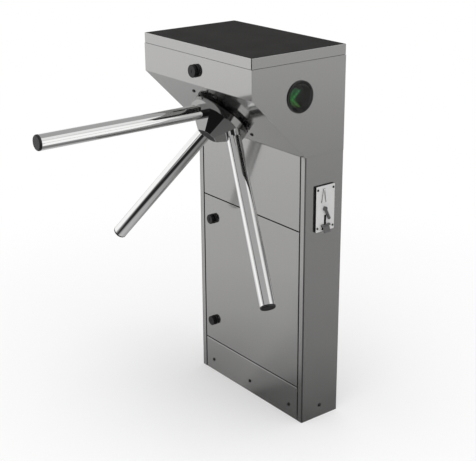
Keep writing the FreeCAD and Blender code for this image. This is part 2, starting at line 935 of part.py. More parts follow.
def coin_return_flap():
    pin = flap_pin_line()
    middle = V(pin[0].x, 0, pin[0].z)
    half = flap_width / 2
    blade = box((middle.x - flap_sheet / 2, middle.x + flap_sheet / 2), (-half, half),
                (middle.z - flap_length, middle.z))
    blade.rotate(middle, V(0, 1, 0), -flap_lean)
    barrel = rod(flap_lug_radius - air, V(middle.x, -half, middle.z), V(middle.x, half, middle.z))
    return join(rod(flap_pin_radius, *pin), blade, barrel)


def coin_acceptor():
    half_w = acceptor_width / 2
    half_l = acceptor_length / 2
    back = -coin_neck_depth - acceptor_depth
    body = coin_block((back, -coin_neck_depth), (-half_w, half_w), (-half_l, half_l))
    body = rounded(body, edge_radius, lambda edge: along(edge, V(1, 0, 0)))
    slot = coin_slot_width / 2
    chute = coin_block((back + chute_back, over - coin_neck_depth), (-slot, slot),
                             (-half_l - over, -coin_slot_drop + coin_slot_length / 2))
    return body.cut(chute)


def coin_box():
    half = coin_box_depth / 2
    wall = coin_box_wall
    outer = box((coin_box_low, coin_box_high), (-half, half), (coin_box_floor, coin_box_top))
    inner = box((coin_box_low + wall, coin_box_high - wall), (wall - half, half - wall),
                (coin_box_floor + wall, height))
    return outer.cut(inner)


# Electrical equipment


def equipment_plate():
    plate = box((equipment_left, equipment_right), (equipment_front, equipment_back),
                (equipment_foot, equipment_top))
    stands = []
    for x in (equipment_left + equipment_margin, equipment_right - equipment_margin):
        for z in (equipment_foot + equipment_margin, equipment_top - equipment_margin):
            stands.append(rod(stand_radius, V(x, equipment_back, z), V(x, y_back - sheet, z)))
    shelf_y = (-coin_box_depth / 2 - shelf_lip, equipment_front)
    shelf = box((coin_box_low - shelf_margin, equipment_right), shelf_y,
                (coin_box_floor - equipment_sheet, coin_box_floor))
    return join(plate, shelf, *stands)


def power_supply():
    left = equipment_left + supply_margin
    foot = equipment_foot + supply_margin
    front = equipment_front - supply_depth
    case = box((left, left + supply_length), (front, equipment_front), (foot, foot + supply_height))
    return rounded(case, edge_radius, lambda edge: edge.CenterOfMass.y < front + over)


def control_board():
    front = equipment_front - board_stand - board_thickness
    left = equipment_left + board_margin
    right = left + board_length
    foot = equipment_foot + board_rise
    top = foot + board_height
    pieces = [box((left, right), (front, front + board_thickness), (foot, top))]
    for x in (left + stand_radius, right - stand_radius):
        for z in (foot + stand_radius, top - stand_radius):
            pieces.append(rod(stand_radius / 2, V(x, front, z), V(x, equipment_front, z)))
    for index in range(relay_count):
        start = left + relay_size + relay_pitch * index
        pieces.append(box((start, start + relay_size), (front - relay_size, front),
                          (top - 2 * relay_size, top - relay_size)))
    pieces.append(box((left + relay_size, right - relay_size), (front - terminal_depth, front),
                      (foot, foot + terminal_height)))
    return join(*pieces)


# Mechanism, built in the hub's own frame


def hub_flange():
    bore = axial(housing_radius + air, -over, flange_thickness + over)
    return tilted(axial(flange_radius, 0, flange_thickness).cut(bore))


def mechanism_plate():
    half_v = chassis_plate_v / 2
    half_u = chassis_plate_u / 2
    plate = box((-half_v, half_v), (-half_u, half_u), (-plate_back, -sheet))
    holes = [axial(housing_radius + seat_fit, -plate_back - over, 0)]
    holes += [axial(screw_radius + seat_fit, -plate_back - over, 0, v, u) for v, u in screw_places()]
    return tilted(plate.cut(holes))


def mechanism_screws():
    screws = []
    for v, u in screw_places():
        head = Part.makeCone(screw_head_radius, screw_radius, screw_head_height, V(v, u, 0), V(0, 0, 1))
        screws.append(tilted(join(axial(screw_radius, -plate_back - column_screw_depth, 0, v, u), head)))
    return group(screws)


def chassis_columns():
    columns = []
    for v, u in screw_places():
        column = axial(column_radius, -rear_plate_front, -plate_back, v, u)
        hole = axial(screw_radius + seat_fit, -plate_back - column_screw_depth - seat_fit, 0, v, u)
        columns.append(tilted(column.cut(hole)))
    return group(columns)


def rear_plate():
    half_v = rear_plate_v / 2
    plate = box((-half_v, half_v), (rear_plate_low, rear_plate_high), (-rear_plate_back, -rear_plate_front))
    plate = rounded(plate, column_radius, lambda edge: along(edge, V(0, 0, 1)))
    return tilted(plate.cut(axial(rear_bearing_radius + seat_fit, -height, height)))


def bearing_housing():
    half_v = housing_flange_v / 2
    half_u = housing_flange_u / 2
    body = join(
        axial(housing_radius, -housing_back, flange_thickness),
        box((-half_v, half_v), (-half_u, half_u), (-plate_back - housing_flange, -plate_back)),
    )
    return tilted(body.cut([
        axial(bearing_outer_radius + seat_fit, -housing_back - over, flange_thickness - housing_lip),
        axial(shaft_radius + housing_bore_gap, -housing_back, height),
    ]))


def bearing_places():
    """Front end, back end, outer radius, bore radius and ring wall of each bearing."""
    first = flange_thickness - housing_lip
    second = first - bearing_width - bearing_span
    return [
        (first, first - bearing_width, bearing_outer_radius, shaft_radius, bearing_ring),
        (second, second - bearing_width, bearing_outer_radius, shaft_radius, bearing_ring),
        (-rear_plate_front, -rear_plate_back, rear_bearing_radius, shaft_tail_radius, rear_bearing_ring),
    ]


def bearing_outer_rings():
    rings = []
    for front, back, outer, bore, wall in bearing_places():
        gap = bore + wall + air
        rings.append(tilted(axial(outer, back, front).cut(axial(gap, back, front))))
    return group(rings)


def bearing_inner_rings():
    rings = []
    for front, back, outer, bore, wall in bearing_places():
        rings.append(tilted(axial(bore + wall, back, front).cut(axial(bore + seat_fit, back, front))))
    return group(rings)


def main_shaft():
    step = rear_plate_front - air
    shaft = join(
        axial(shaft_radius, -step, shaft_front),
        axial(shaft_tail_radius, -shaft_tail, -step),
    )
    return tilted(shaft)


def facet_corners(apothem, level):
    """Corners of the faceted section at a level: a wide face before each arm, two narrow ones between."""
    reach = apothem / math.cos(math.radians(facet_angles[0]))
    turns = [
        2 * math.pi * arm / arm_count + math.radians(angle)
        for arm in range(arm_count)
        for angle in facet_angles
    ]
    return [V(reach * math.sin(turn), reach * math.cos(turn), level) for turn in turns]


def hub():
    sections = [facet_corners(hub_point - level, level) for level in (hub_back, hub_front)]
    faceted = Part.makeLoft([Part.makePolygon(points + points[:1]) for points in sections], True, True)
    body = faceted.common(axial(hub_radius, hub_back, hub_front))
    recess = hub_cap_shape(seat_fit)
    shaft_hole = axial(shaft_radius + seat_fit, hub_back - over, shaft_front)
    stem_hole = axial(cap_stem_radius + seat_fit, shaft_front, hub_front)
    sockets = [arm_line(arm_radius + seat_fit, arm_socket, arm_length, turn) for turn in arm_turns()]
    return tilted(body.cut([shaft_hole, stem_hole, recess] + sockets))


def hub_cap_shape(clearance=0.0):
    """The faceted cover on the hub's front, and the recess that it sits in."""
    apothem = hub_point - hub_front - hub_cap_margin + clearance
    points = facet_corners(apothem, hub_front - hub_cap_thickness - clearance)
    return prism(points, V(0, 0, hub_cap_thickness + clearance))


def hub_cap():
    stem = axial(cap_stem_radius, shaft_front, hub_front - hub_cap_thickness)
    return tilted(join(hub_cap_shape(), stem))


def arm_turns():
    """The arms' directions around the hub's axis."""
    return [360 * index / arm_count for index in range(arm_count)]


def arm_line(radius, start, end, turn):
    """A round bar along an arm, in the hub's own frame."""
    meeting = V(0, 0, arm_meeting)
    way = V(0, math.sin(arm_tilt), math.cos(arm_tilt))
    bar = rod(radius, meeting + way * start, meeting + way * end)
    bar.rotate(V(0, 0, 0), V(0, 0, 1), -turn)
    return bar


def arm(turn):
    end = arm_length - arm_cap_length
    outer = arm_line(arm_radius, arm_socket + seat_fit, end, turn)
    return tilted(outer.cut(arm_line(arm_radius - arm_wall, arm_socket, arm_length, turn)))


def arm_caps():
    caps = []
    end = arm_length - arm_cap_length
    for turn in arm_turns():
        head = arm_line(arm_radius, end, arm_length, turn)
        tip = [edge for edge in head.Edges if edge.Closed]
        far = max(tip, key=lambda edge: (edge.CenterOfMass - V(0, 0, arm_meeting)).Length)
        head = head.makeFillet(arm_cap_round, [far])
        plug = arm_line(arm_radius - arm_wall - seat_fit, end - arm_plug_length, end, turn)
        caps.append(tilted(join(head, plug)))
    return group(caps)


# Gears


def gear(teeth, width):
    """A spur gear about Z with a tooth gap, or a tooth, on the X axis."""
    pitch = gear_module * teeth / 2
    slope = math.radians(pressure_angle)
    base = pitch * math.cos(slope)
    tip = pitch + addendum * gear_module
    root = pitch - dedendum * gear_module
    half = math.pi / (2 * teeth) - backlash / (2 * pitch) + math.tan(slope) - slope
    low = max(base, root)
    flank = []
    for step in range(flank_points):
        radius = low + (tip - low) * step / (flank_points - 1)
        roll = math.acos(base / radius)
        flank.append((radius, half - (math.tan(roll) - roll)))
    if root < base:
        flank.insert(0, (root, flank[0][1]))
    points = []
    for index in range(teeth):
        middle = 2 * math.pi * index / teeth
        for radius, turn in flank:
            points.append(V(radius * math.cos(middle - turn), radius * math.sin(middle - turn), 0))
        for radius, turn in reversed(flank):
            points.append(V(radius * math.cos(middle + turn), radius * math.sin(middle + turn), 0))
    return prism(points, V(0, 0, width))


def in_mesh(shape, teeth, v):
    """A small gear turned half a tooth and moved beside the drive gear."""
    shape.rotate(V(0, 0, 0), V(0, 0, 1), 180 / teeth)
    shape.translate(V(v, 0, -gear_back))
    return shape


def drive_gear():
    wheel = gear(drive_teeth, gear_width)
    wheel.translate(V(0, 0, -gear_back))
    seat = bearing_places()[1][1]
    boss = axial(shaft_radius + bearing_ring - gear_boss_step, -gear_back, seat)
    return tilted(join(wheel, boss).cut(axial(shaft_radius + seat_fit, -height, height)))


def crank_gear():
    wheel = in_mesh(gear(crank_teeth, gear_width), crank_teeth, crank_distance)
    pin_end = crank_pin_length - gear_front
    pin = axial(crank_pin_radius, -gear_front, pin_end, crank_distance, -crank_pin_throw)
    bore = axial(crank_stud_radius + running_fit, -height, height, crank_distance)
    return tilted(join(wheel, pin).cut(bore))


def damper_pinion():
    wheel = in_mesh(gear(damper_teeth, gear_width), damper_teeth, -damper_distance)
    shaft = axial(damper_shaft_radius, -gear_front, damper_shaft_depth - damper_back, -damper_distance)
    return tilted(join(wheel, shaft))


def damper_body():
    body = axial(damper_radius, -damper_back, -plate_back, -damper_distance)
    bore_end = damper_shaft_depth - damper_back + air
    bore = axial(damper_shaft_radius + running_fit, -height, bore_end, -damper_distance)
    return tilted(body.cut(bore))


def chassis_studs():
    """The crank's stud, the spring's post and the two pawls' studs."""
    back = -gear_back - air
    crank = join(
        axial(crank_collar_radius, air - gear_front, air - gear_front + crank_collar, crank_distance),
        axial(crank_stud_radius, back, -plate_back, crank_distance),
        axial(crank_collar_radius, back - crank_collar, back, crank_distance),
    )
    post = axial(spring_post_radius, -spring_plane - 2 * spring_bend - spring_radius, -plate_back,
                 crank_distance, -spring_post_drop)
    studs = [crank, post]
    for side in (-1, 1):
        v = side * pawl_pivot_v
        studs.append(join(
            axial(pawl_stud_radius, -rear_plate_front, air - lock_front, v, pawl_pivot_u),
            axial(pawl_boss_radius, -rear_plate_front, -lock_back - air, v, pawl_pivot_u),
            axial(pawl_boss_radius, air - lock_front, air - lock_front + pawl_stud_radius, v, pawl_pivot_u),
        ))
    return group([tilted(stud) for stud in studs])


# Return spring


def arc_through(start, tangent, end):
    """The edge that leaves a point along a tangent and ends at another point."""
    chord = end - start
    lean = tangent.getAngle(chord)
    if lean < 1e-6:
        return Part.LineSegment(start, end)
    side = tangent - chord * (tangent.dot(chord) / chord.dot(chord))
    middle = start + chord * 0.5 + side.normalize() * (chord.Length / 2 * math.tan(lean / 2))
    return Part.Arc(start, middle, end)


def two_arcs(start, start_way, end, end_way):
    """Two arcs that join smoothly between two points with given directions."""
    chord = end - start
    ways = start_way + end_way
    spread = 2 * (1 - start_way.dot(end_way))
    if spread < 1e-9:
        return [Part.LineSegment(start, end)]
    along_ways = chord.dot(ways)
    reach = (math.sqrt(along_ways ** 2 + spread * chord.dot(chord)) - along_ways) / spread
    meeting = (start + start_way * reach + end - end_way * reach) * 0.5
    back = arc_through(end, end_way * -1, meeting)
    return [arc_through(start, start_way, meeting), back]


def spring_stations():
    """Points along the spring's wire with its direction there: hook, coils, hook."""
    v = crank_distance
    low_plane = -spring_plane - spring_bend
    high_plane = spring_bend - spring_plane
    across = V(1, 0, 0)
    up = V(0, 1, 0)
    ring = spring_radius
    post = V(v, -spring_post_drop, low_plane)
    pin = V(v, -crank_pin_throw, high_plane)
    stations = [
        (post - across * ring, up * -1),
        (post - up * ring, across),
        (post + across * ring, up),
        (V(v + ring, spring_low - spring_lead, low_plane), up),
    ]
    pitch = (spring_high - spring_low) / spring_turns
    for quarter in range(4 * spring_turns + 1):
        turn = math.pi / 2 * quarter
        climb = pitch * quarter / 4
        place = V(v + ring * math.cos(turn), spring_low + climb, -spring_plane + ring * math.sin(turn))
        way = V(-ring * math.sin(turn), pitch / (2 * math.pi), ring * math.cos(turn))
        stations.append((place, way.normalize()))
    stations += [
        (V(v + ring, spring_high + spring_lead, high_plane), up),
        (pin + across * ring, up),
        (pin + up * ring, across * -1),
        (pin - across * ring, up * -1),
    ]
    return stations


def return_spring():
    stations = spring_stations()
    edges = []
    for (start, start_way), (end, end_way) in zip(stations, stations[1:]):
        edges += [curve.toShape() for curve in two_arcs(start, start_way, end, end_way)]
    path = Part.Wire(Part.__sortEdges__(edges))
    first, way = stations[0]
    profile = Part.Wire(Part.makeCircle(spring_wire, first, way))
    coil = path.makePipeShell([profile], True, False)
    print("spring: least gap to itself", round(least_gap(path), 2), "mm")
    return tilted(coil)


def least_gap(path):
    """The least distance between the wire's surfaces more than half a turn apart."""
    step = spring_wire
    points = path.discretize(Distance=step)
    apart = int(math.pi * spring_radius / step)
    nearest = min(
        points[near].distanceToPoint(points[far])
        for near in range(len(points))
        for far in range(near + apart, len(points))
    )
    return nearest - 2 * spring_wire


# Lock wheel, pawls, solenoids and sensors


def lock_wheel():
    pitch = 2 * math.pi / lock_notches
    half = lock_notch_share / 2
    corners = [(half, lock_root), (half, lock_radius), (1 - half, lock_radius), (1 - half, lock_root)]
    points = []
    for index in range(lock_notches):
        for share, radius in corners:
            turn = pitch * (index + share)
            points.append(V(radius * math.cos(turn), radius * math.sin(turn), -lock_back))
    wheel = prism(points, V(0, 0, lock_width))
    boss = axial(shaft_radius + lock_boss_wall, -lock_front, -gear_back)
    return tilted(join(wheel, boss).cut(axial(shaft_radius + seat_fit, -height, height)))


def pawl_shape():
    """The pawl on the entry side, just clear of the lock wheel."""
    level = (-lock_back, -lock_front)
    v = pawl_pivot_v
    top = pawl_pivot_u + pawl_tail + pawl_tail_end
    half_arm = pawl_arm / 2
    half_tail = pawl_tail_width / 2
    notch = pawl_notch / 2
    half_nose = pawl_nose / 2
    tail_low = pawl_pivot_u + pawl_boss_radius + half_arm
    body = join(
        box((v - half_arm, v + half_arm), (-half_nose, tail_low + half_arm), level),
        box((lock_radius + pawl_clearance, v), (-half_nose, half_nose), level),
        box((v - half_tail, v + half_tail), (tail_low, top), level),
        axial(pawl_boss_radius, level[0], level[1], v, pawl_pivot_u),
    )
    return body.cut([
        axial(pawl_stud_radius + running_fit, -height, height, v, pawl_pivot_u),
        box((v - notch, v + notch), (pawl_pivot_u + pawl_tail - notch, height), level),
    ])


def plunger_line():
    """Height and depth of the plunger's axis in the hub's own frame."""
    return pawl_pivot_u + pawl_tail, -(lock_front + lock_back) / 2


def plunger_shape():
    u, level = plunger_line()
    start = pawl_pivot_v - plunger_nose
    side = lock_width / 2 + plunger_slit_side
    slit = box((start - over, start + plunger_slit), (u - plunger_radius, u + plunger_radius),
               (level - side, level + side))
    body = rod(plunger_radius, V(start, u, level), V(start + plunger_length, u, level)).cut(slit)
    reach = plunger_radius - plunger_slit_side
    pin = axial(plunger_pin_radius, level - reach, level + reach, pawl_pivot_v, u)
    return join(body, pin)


def solenoid_shape():
    u, level = plunger_line()
    half = solenoid_height / 2
    end = solenoid_front + solenoid_length
    deep = (-rear_plate_front, solenoid_depth - rear_plate_front)
    body = box((solenoid_front, end), (u - half, u + half), deep)
    body = rounded(body, edge_radius, lambda edge: along(edge, V(1, 0, 0)) and edge.CenterOfMass.z > level)
    bore = rod(plunger_radius + running_fit, V(solenoid_front - over, u, level),
               V(end - edge_radius, u, level))
    return body.cut(bore)


def solenoids():
    body = solenoid_shape()
    return group([tilted(body), tilted(mirrored(body))])


def sensor_disc():
    level = (-sensor_disc_back, -sensor_disc_front)
    disc = axial(sensor_disc_radius, *level)
    boss = axial(rear_bearing_ring + shaft_tail_radius, -sensor_disc_front, -rear_plate_back)
    slots = [axial(shaft_tail_radius + seat_fit, -height, height)]
    half = sensor_slot_width / 2
    for index in range(sensor_slots):
        slot = box((-half, half), (sensor_disc_radius - sensor_slot_depth, 2 * sensor_disc_radius), level)
        slot.rotate(V(0, 0, 0), V(0, 0, 1), index * 360 / sensor_slots)
        slots.append(slot)
    return tilted(join(disc, boss).cut(slots))


def position_sensors():
    back = -sensor_disc_back - sensor_fork_gap - sensor_fork_arm
    inner = sensor_disc_radius - sensor_fork_reach
    outer = sensor_disc_radius + sensor_fork_reach
    half = sensor_fork_width / 2
    forks = []
    for index in range(sensor_count):
        fork = box((-half, half), (inner, outer), (back, -rear_plate_back)).cut(
            box((-half, half), (0, sensor_disc_radius + sensor_fork_gap),
                (back + sensor_fork_arm, sensor_fork_gap - sensor_disc_front)))
        fork.rotate(V(0, 0, 0), V(0, 0, 1), sensor_angle * (2 * index - 1))
        forks.append(tilted(fork))
    return group(forks)


def pieces():
    """Every piece of the turnstile under its name."""
    lower, upper = door_lock_heights()
    made = {
        "base_frame": base_frame(),
        "cable_grommet": cable_grommet(),
        "pillar_shell": pillar_shell(),
        "upper_front_panel": upper_front_panel(),
        "kick_panel": kick_panel(),
        "cabinet_screws": cabinet_screws(),
        "door_pivots": door_pivots(),
        "head_shell": head_shell(),
        "lid_tray": lid_tray(),
        "lid_top_panel": lid_top_panel(),
        "lid_keeper": lid_keeper(),
        "lid_hinge_fixed_leaf": lid_hinge_fixed_leaf(),
        "lid_hinge_moving_leaf": lid_hinge_moving_leaf(),
        "lid_lock_housing": lid_lock_housing(),
        "lid_lock": lid_lock(),
        "service_door": service_door(),
        "door_lock_housings": door_lock_housings(),
        "door_lock_lower": door_lock(lower),
        "door_lock_upper": door_lock(upper),
        "indicator_bezels": indicator_bezels(),
        "indicator_lenses": indicator_lenses(),
        "indicator_leds": indicator_leds(),
        "coin_frame": coin_frame(),
        "coin_faceplate": coin_faceplate(),
        "coin_return_lever": coin_return_lever(),
        "coin_return_flap": coin_return_flap(),
        "coin_acceptor": coin_acceptor(),
        "coin_box": coin_box(),
        "equipment_plate": equipment_plate(),
        "power_supply": power_supply(),
        "control_board": control_board(),
        "hub_flange": hub_flange(),
        "mechanism_plate": mechanism_plate(),
        "mechanism_screws": mechanism_screws(),
        "chassis_columns": chassis_columns(),
        "rear_plate": rear_plate(),
        "chassis_studs": chassis_studs(),
        "bearing_housing": bearing_housing(),
        "bearing_outer_rings": bearing_outer_rings(),
        "bearing_inner_rings": bearing_inner_rings(),
        "main_shaft": main_shaft(),
        "hub": hub(),
        "hub_cap": hub_cap(),
        "arm_caps": arm_caps(),
        "drive_gear": drive_gear(),
        "crank_gear": crank_gear(),
        "damper_pinion": damper_pinion(),
        "damper_body": damper_body(),
        "return_spring": return_spring(),
        "lock_wheel": lock_wheel(),
        "pawl_entry": tilted(pawl_shape()),
        "pawl_exit": tilted(mirrored(pawl_shape())),
        "plunger_entry": tilted(plunger_shape()),
        "plunger_exit": tilted(mirrored(plunger_shape())),
        "solenoids": solenoids(),
        "sensor_disc": sensor_disc(),
        "position_sensors": position_sensors(),
    }
    for number, turn in enumerate(arm_turns(), 1):
        made["arm_%d" % number] = arm(turn)
    return made


def save(name, shape):
    """Write one piece, as a solid or as a group of separate solids."""
    solids = shape.Solids
    whole = solids[0] if len(solids) == 1 else Part.makeCompound(solids)
    sound = all(solid.isValid() for solid in solids)
    print(name, len(solids), "solids", "" if sound else "NOT SOUND", round(whole.Volume / 1000, 1), "cm3")
    whole.exportStep("parts/%s.step" % name)


os.makedirs("parts", exist_ok=True)
for piece_name, piece_shape in pieces().items():
    save(piece_name, piece_shape)
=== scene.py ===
import json
import math

import bmesh
import bpy
from mathutils import Matrix, Vector


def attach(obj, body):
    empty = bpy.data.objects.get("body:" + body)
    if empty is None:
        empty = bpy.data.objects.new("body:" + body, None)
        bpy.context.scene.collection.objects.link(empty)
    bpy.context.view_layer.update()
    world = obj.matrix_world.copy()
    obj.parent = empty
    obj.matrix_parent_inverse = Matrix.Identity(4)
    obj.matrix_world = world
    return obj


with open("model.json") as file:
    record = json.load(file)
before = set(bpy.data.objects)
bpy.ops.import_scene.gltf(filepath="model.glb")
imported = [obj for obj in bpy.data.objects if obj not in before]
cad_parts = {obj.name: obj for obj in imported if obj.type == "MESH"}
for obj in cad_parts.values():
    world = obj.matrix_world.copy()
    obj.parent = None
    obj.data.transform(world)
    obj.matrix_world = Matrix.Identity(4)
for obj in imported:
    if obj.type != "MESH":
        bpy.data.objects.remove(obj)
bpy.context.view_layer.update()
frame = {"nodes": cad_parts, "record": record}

nodes = frame["nodes"]

# Ways in the frame of the pieces, and a length past any piece. All lengths are in metres.
TO_END = Vector((1.0, 0.0, 0.0))
TO_FRONT = Vector((0.0, -1.0, 0.0))
TO_BACK = Vector((0.0, 1.0, 0.0))
UPWARD = Vector((0.0, 0.0, 1.0))
EVERYWHERE = 10.0

# Coin plate: painted shade on the ribs' sides and the edges, measured from its face, and round the slot, in
# the frame; screws from its middle, lugs in the frame
COIN_FACE_X = 0.228
COIN_MIDDLE_Z = 0.5955
COIN_RIB = (0.0002, 0.0022)
COIN_EDGE_SHADE = (-0.02, -0.0003)
COIN_SLOT_SHADE_Y = (-0.0036, 0.0036)
COIN_SLOT_SHADE_Z = (0.5545, 0.5774)
COIN_LUG_Z = (0.0, 0.5545)
COIN_SCREWS = [(-0.0255, 0.051), (0.0255, 0.051), (-0.0255, -0.050), (0.0255, -0.050)]
COIN_SCREW_RADIUS = 0.0030
COIN_SCREW_HEIGHT = 0.0016

# Hub: the black band at its foot and the screw above each arm
HUB_CENTRE = Vector((0.0, -0.146, 0.8185))
HUB_AXIS = Vector((0.0, -1.0, -1.0)).normalized()
HUB_RIM = Vector((0.0, -1.0, 1.0)).normalized()
HUB_BAND = 0.009
HUB_TURNS = [0.0, 120.0, 240.0]
HUB_SCREW_RADIUS = 0.0042
HUB_SCREW_HEIGHT = 0.0022
HUB_SCREW_REACH = 0.0782
HUB_SCREW_RISE = 0.0115

# Lid hinge: a row of screws on each leaf
HINGE_BACK_Y = 0.0637
HINGE_ROWS = {"cabinet": 0.9605, "lid": 0.9885}
HINGE_SCREW_SPACING = 0.054
HINGE_SCREW_COUNT = 7
HINGE_SCREW_RADIUS = 0.0026
HINGE_SCREW_HEIGHT = 0.0007

# Screw heads: sides, and sizes as shares of the head's radius and height
SCREW_SIDES = 18
KEY_SIDES = 6
HEAD_TOP = 0.62
KEY_RADIUS = 0.36
KEY_DEPTH = 1.2

# Pillar: painted dark reflection along the front fold, painted shade on the edges beside the front panels,
# and a painted highlight on the kick panel's top edge
PILLAR_CORNER = (0.222, -0.0625)
PAINTED_FOLD_REACH = 0.0021
PAINTED_GAP_SHADE_X = (0.2040, 0.2060)
KICK_HIGHLIGHT_Z = 0.0935

# Direction lamp: where its board ends, where its small lamps begin, and its colours from foot to top
LAMP_BOARD_X = (0.200, 0.204)
LAMP_BULB_X = (0.2207, 0.2210)
LAMP_BULB_POWER = 2.2
LAMP_HEIGHT_Z = (0.866, 0.908)
LAMP_TIP_Y = (-0.112, -0.080)
LAMP_TAIL_POWER = 0.12
LAMP_SPECK = 260.0
LAMP_UNEVEN = (0.7, 1.3)
LAMP_GREENS = [(0.0, (0.05, 0.13, 0.010)), (0.5, (0.02, 0.20, 0.03)), (1.0, (0.03, 0.24, 0.08))]
LAMP_BODY = [(0.006, 0.02, 0.008), (0.012, 0.035, 0.014)]
LAMP_ROUGH = 0.35

# Smoked lens of the direction lamp
LENS_CLEAR = 0.96
LENS_IOR = 1.12
LENS_WAVES = 30.0
LENS_TINTS = [(0.40, 0.41, 0.39), (0.46, 0.47, 0.45)]
LENS_ROUGH = (0.04, 0.08)
LENS_RELIEF = (0.1, 0.0002)

# Control board: its face, where the relays begin above the terminals, and its colours
BOARD_FACE_Y = (0.0398, 0.0402)
BOARD_TURN = (math.pi / 2, 0.0, 0.0)
BOARD_COLOURS = {"Color1": (0.012, 0.11, 0.045), "Color2": (0.015, 0.14, 0.06), "Mortar": (0.10, 0.30, 0.12)}
BOARD_SPECK = 700.0
BOARD_ROUGH = (0.3, 0.5)
BOARD_RELIEF = (0.3, 0.0001)
TRACK_SCALE = 60.0
TRACK_WIDTH = 0.06
RELAY_FOOT_Z = (0.38, 0.385)
PART_COLOURS = [(0.4, (0.02, 0.20, 0.07)), (0.6, (0.015, 0.03, 0.10))]

# Grain: how noise is drawn out, where most of its values lie, and what it does to metal and to coatings
EVEN = (1.0, 1.0, 1.0)
ACROSS = (6.0, 6.0, 420.0)
PLATE_GRAIN = (60.0, 420.0, 6.0)
NOISE_ROUGHNESS = 0.55
NOISE_RANGE = (0.3, 0.7)
METAL_RANGE = (0.25, 0.75)
METAL_DETAIL = 4.0
METAL_GLOSS = 0.02
METAL_RELIEF = 0.25
SMUDGE_SCALE = 3.0
SMUDGE_GLOSS = (-0.015, 0.03)
SMOOTH_DETAIL = 2.0
COAT_CLOUDS = 14.0
COAT_CONTRAST = 0.2
COAT_GLOSS = 0.06
COAT_RELIEF = (0.35, 0.00006)

# The photograph's camera
IMAGE_WIDTH = 476.0
FOCAL_PIXELS = 1089.06
SENSOR = 36.0
CAMERA_PLACE = Vector((2.1378, -1.7455, 1.4924))
CAMERA_AIM = Vector((-0.7432, 0.5717, -0.3475))
CAMERA_ROLL = math.radians(-0.38)

# The room that the polished metal shows, by the height of a direction, and on the floor by distance, darker
# towards the pillar's foot as a painted shadow
ROOM_LEVELS = [
    (-1.0, 0.30), (-0.30, 0.90), (-0.10, 0.97), (0.19, 0.96), (0.26, 0.84),
    (0.33, 0.66), (0.40, 0.60), (0.45, 0.48), (0.52, 0.37), (1.0, 0.35),
]
ROOM_SLOPE = 0.10
HORIZON = (-0.14, -0.04)
FLOOR_LEVELS = [
    (0.0, 0.31), (0.1, 0.39), (0.2, 0.46), (0.4, 0.57), (0.8, 0.66),
    (1.4, 0.71), (2.6, 0.81), (4.5, 0.94), (9.0, 1.0),
]
FLOOR_REACH = 9.0
FLOOR_WHITES = [(0.90, 0.90, 0.90), (0.92, 0.92, 0.92)]
FLOOR_CLOUDS = 0.8
FLOOR_ROUGH = 0.9
FLOOR_SPECULAR = 0.1
FAR_FLOOR = (1.5, 4.5)
FAR_LEVELS = (0.52, 0.60)
FOOT = (0.222, 0.0625)
SHADOW_FADE = (0.1, 1.5)
SHADOW_LEVELS = (0.3, 1.0)
SMALL_RADIUS = 0.001
SMALL_SQUARE = 0.0001

# Patches of the room: azimuths in degrees from the front towards +X, widths as the cosines where a patch
# begins and is full, tops and feet as heights of a direction, and distances on the floor
LIGHT_AZIMUTH = -45.0
LIGHT_WIDTH = (0.42, 0.95)
LIGHT_LEVELS = (0.52, 1.0)
DARK_AZIMUTH = 30.0
DARK_FLOOR_WIDTH = (0.38, 0.68)
DARK_DISTANCE = (0.50, 0.96)
DARK_SHARES = (0.2, 1.0)
DARK_WALL_WIDTH = (0.56, 0.76)
DARK_TOP = (0.46, 0.60)
DARK_DEPTH = 0.97
WINDOW_AZIMUTH = 4.0
WINDOW_WIDTH = (0.90, 0.97)
WINDOW_DISTANCE = (2.0, 3.2)
WINDOW_TOP = (0.26, 0.36)
DIM_AZIMUTH = 172.0
DIM_WIDTH = (0.6, 0.95)
DIM_TOP = (0.30, 0.55)
DIM_DEPTH = 0.82
SKYLIGHT_AZIMUTH = 125.5
SKYLIGHT_WIDTH = (0.89, 0.95)
SKYLIGHT_FOOT = (0.44, 0.54)
SKYLIGHT_TOP = (0.80, 0.88)
SKYLIGHT_LEVEL = 0.80

# The light on the object, and the card that only reflections show
PLAIN_LIGHT = 0.62
WHITE = 1.0
SOFTBOX_PLACE = Vector((0.40, -0.30, 3.2))
SOFTBOX_AIM = Vector((0.0, 0.0, 0.6))
SOFTBOX_SIDE = 2.4
SOFTBOX_POWER = 60.0
CARD_PLACE = Vector((0.65, -0.125, 0.41))
CARD_AIM = Vector((0.0, -0.125, 0.41))
CARD_WIDTH = 0.43
CARD_HEIGHT = 0.62
CARD_WHITES = [(0.92, 0.92, 0.92), (0.98, 0.98, 0.98)]
CARD_CLOUDS = 1.5
CARD_FADE_Z = (0.05, 0.45)
CARD_LEVELS = (0.35, 1.0)


# Helpers for objects and node trees


def put(name, data):
    """A new object in the scene."""
    thing = bpy.data.objects.new(name, data)
    bpy.context.scene.collection.objects.link(thing)
    return thing


def grey(level):
    return (level, level, level)


def tint(colour, factor):
    return tuple(min(1.0, channel * factor) for channel in colour)


def new_finish(name):
    material = bpy.data.materials.new(name)
    material.use_nodes = True
    return material, material.node_tree, material.node_tree.nodes["Principled BSDF"]


def link(tree, start, end):
    tree.links.new(start, end)


def place_on(tree):
    """The place on the piece, in its own coordinates."""
    return tree.nodes.new("ShaderNodeTexCoord").outputs["Object"]


def part_of(tree, vector, axis):
    """A vector's X, Y or Z."""
    node = tree.nodes.new("ShaderNodeSeparateXYZ")
    link(tree, vector, node.inputs["Vector"])
    return node.outputs[axis]


def along(tree, vector, way):
    """How far a vector reaches along a way."""
    node = tree.nodes.new("ShaderNodeVectorMath")
    node.operation = "DOT_PRODUCT"
    link(tree, vector, node.inputs[0])
    node.inputs[1].default_value = way
    return node.outputs["Value"]


def work(tree, operation, first, second=0.0):
    """One sum on values or numbers."""
    node = tree.nodes.new("ShaderNodeMath")
    node.operation = operation
    for socket, value in zip(node.inputs, (first, second)):
        if isinstance(value, float):
            socket.default_value = value
        else:
            link(tree, value, socket)
    return node.outputs["Value"]


def product(tree, first, *others):
    for other in others:
        first = work(tree, "MULTIPLY", first, other)
    return first


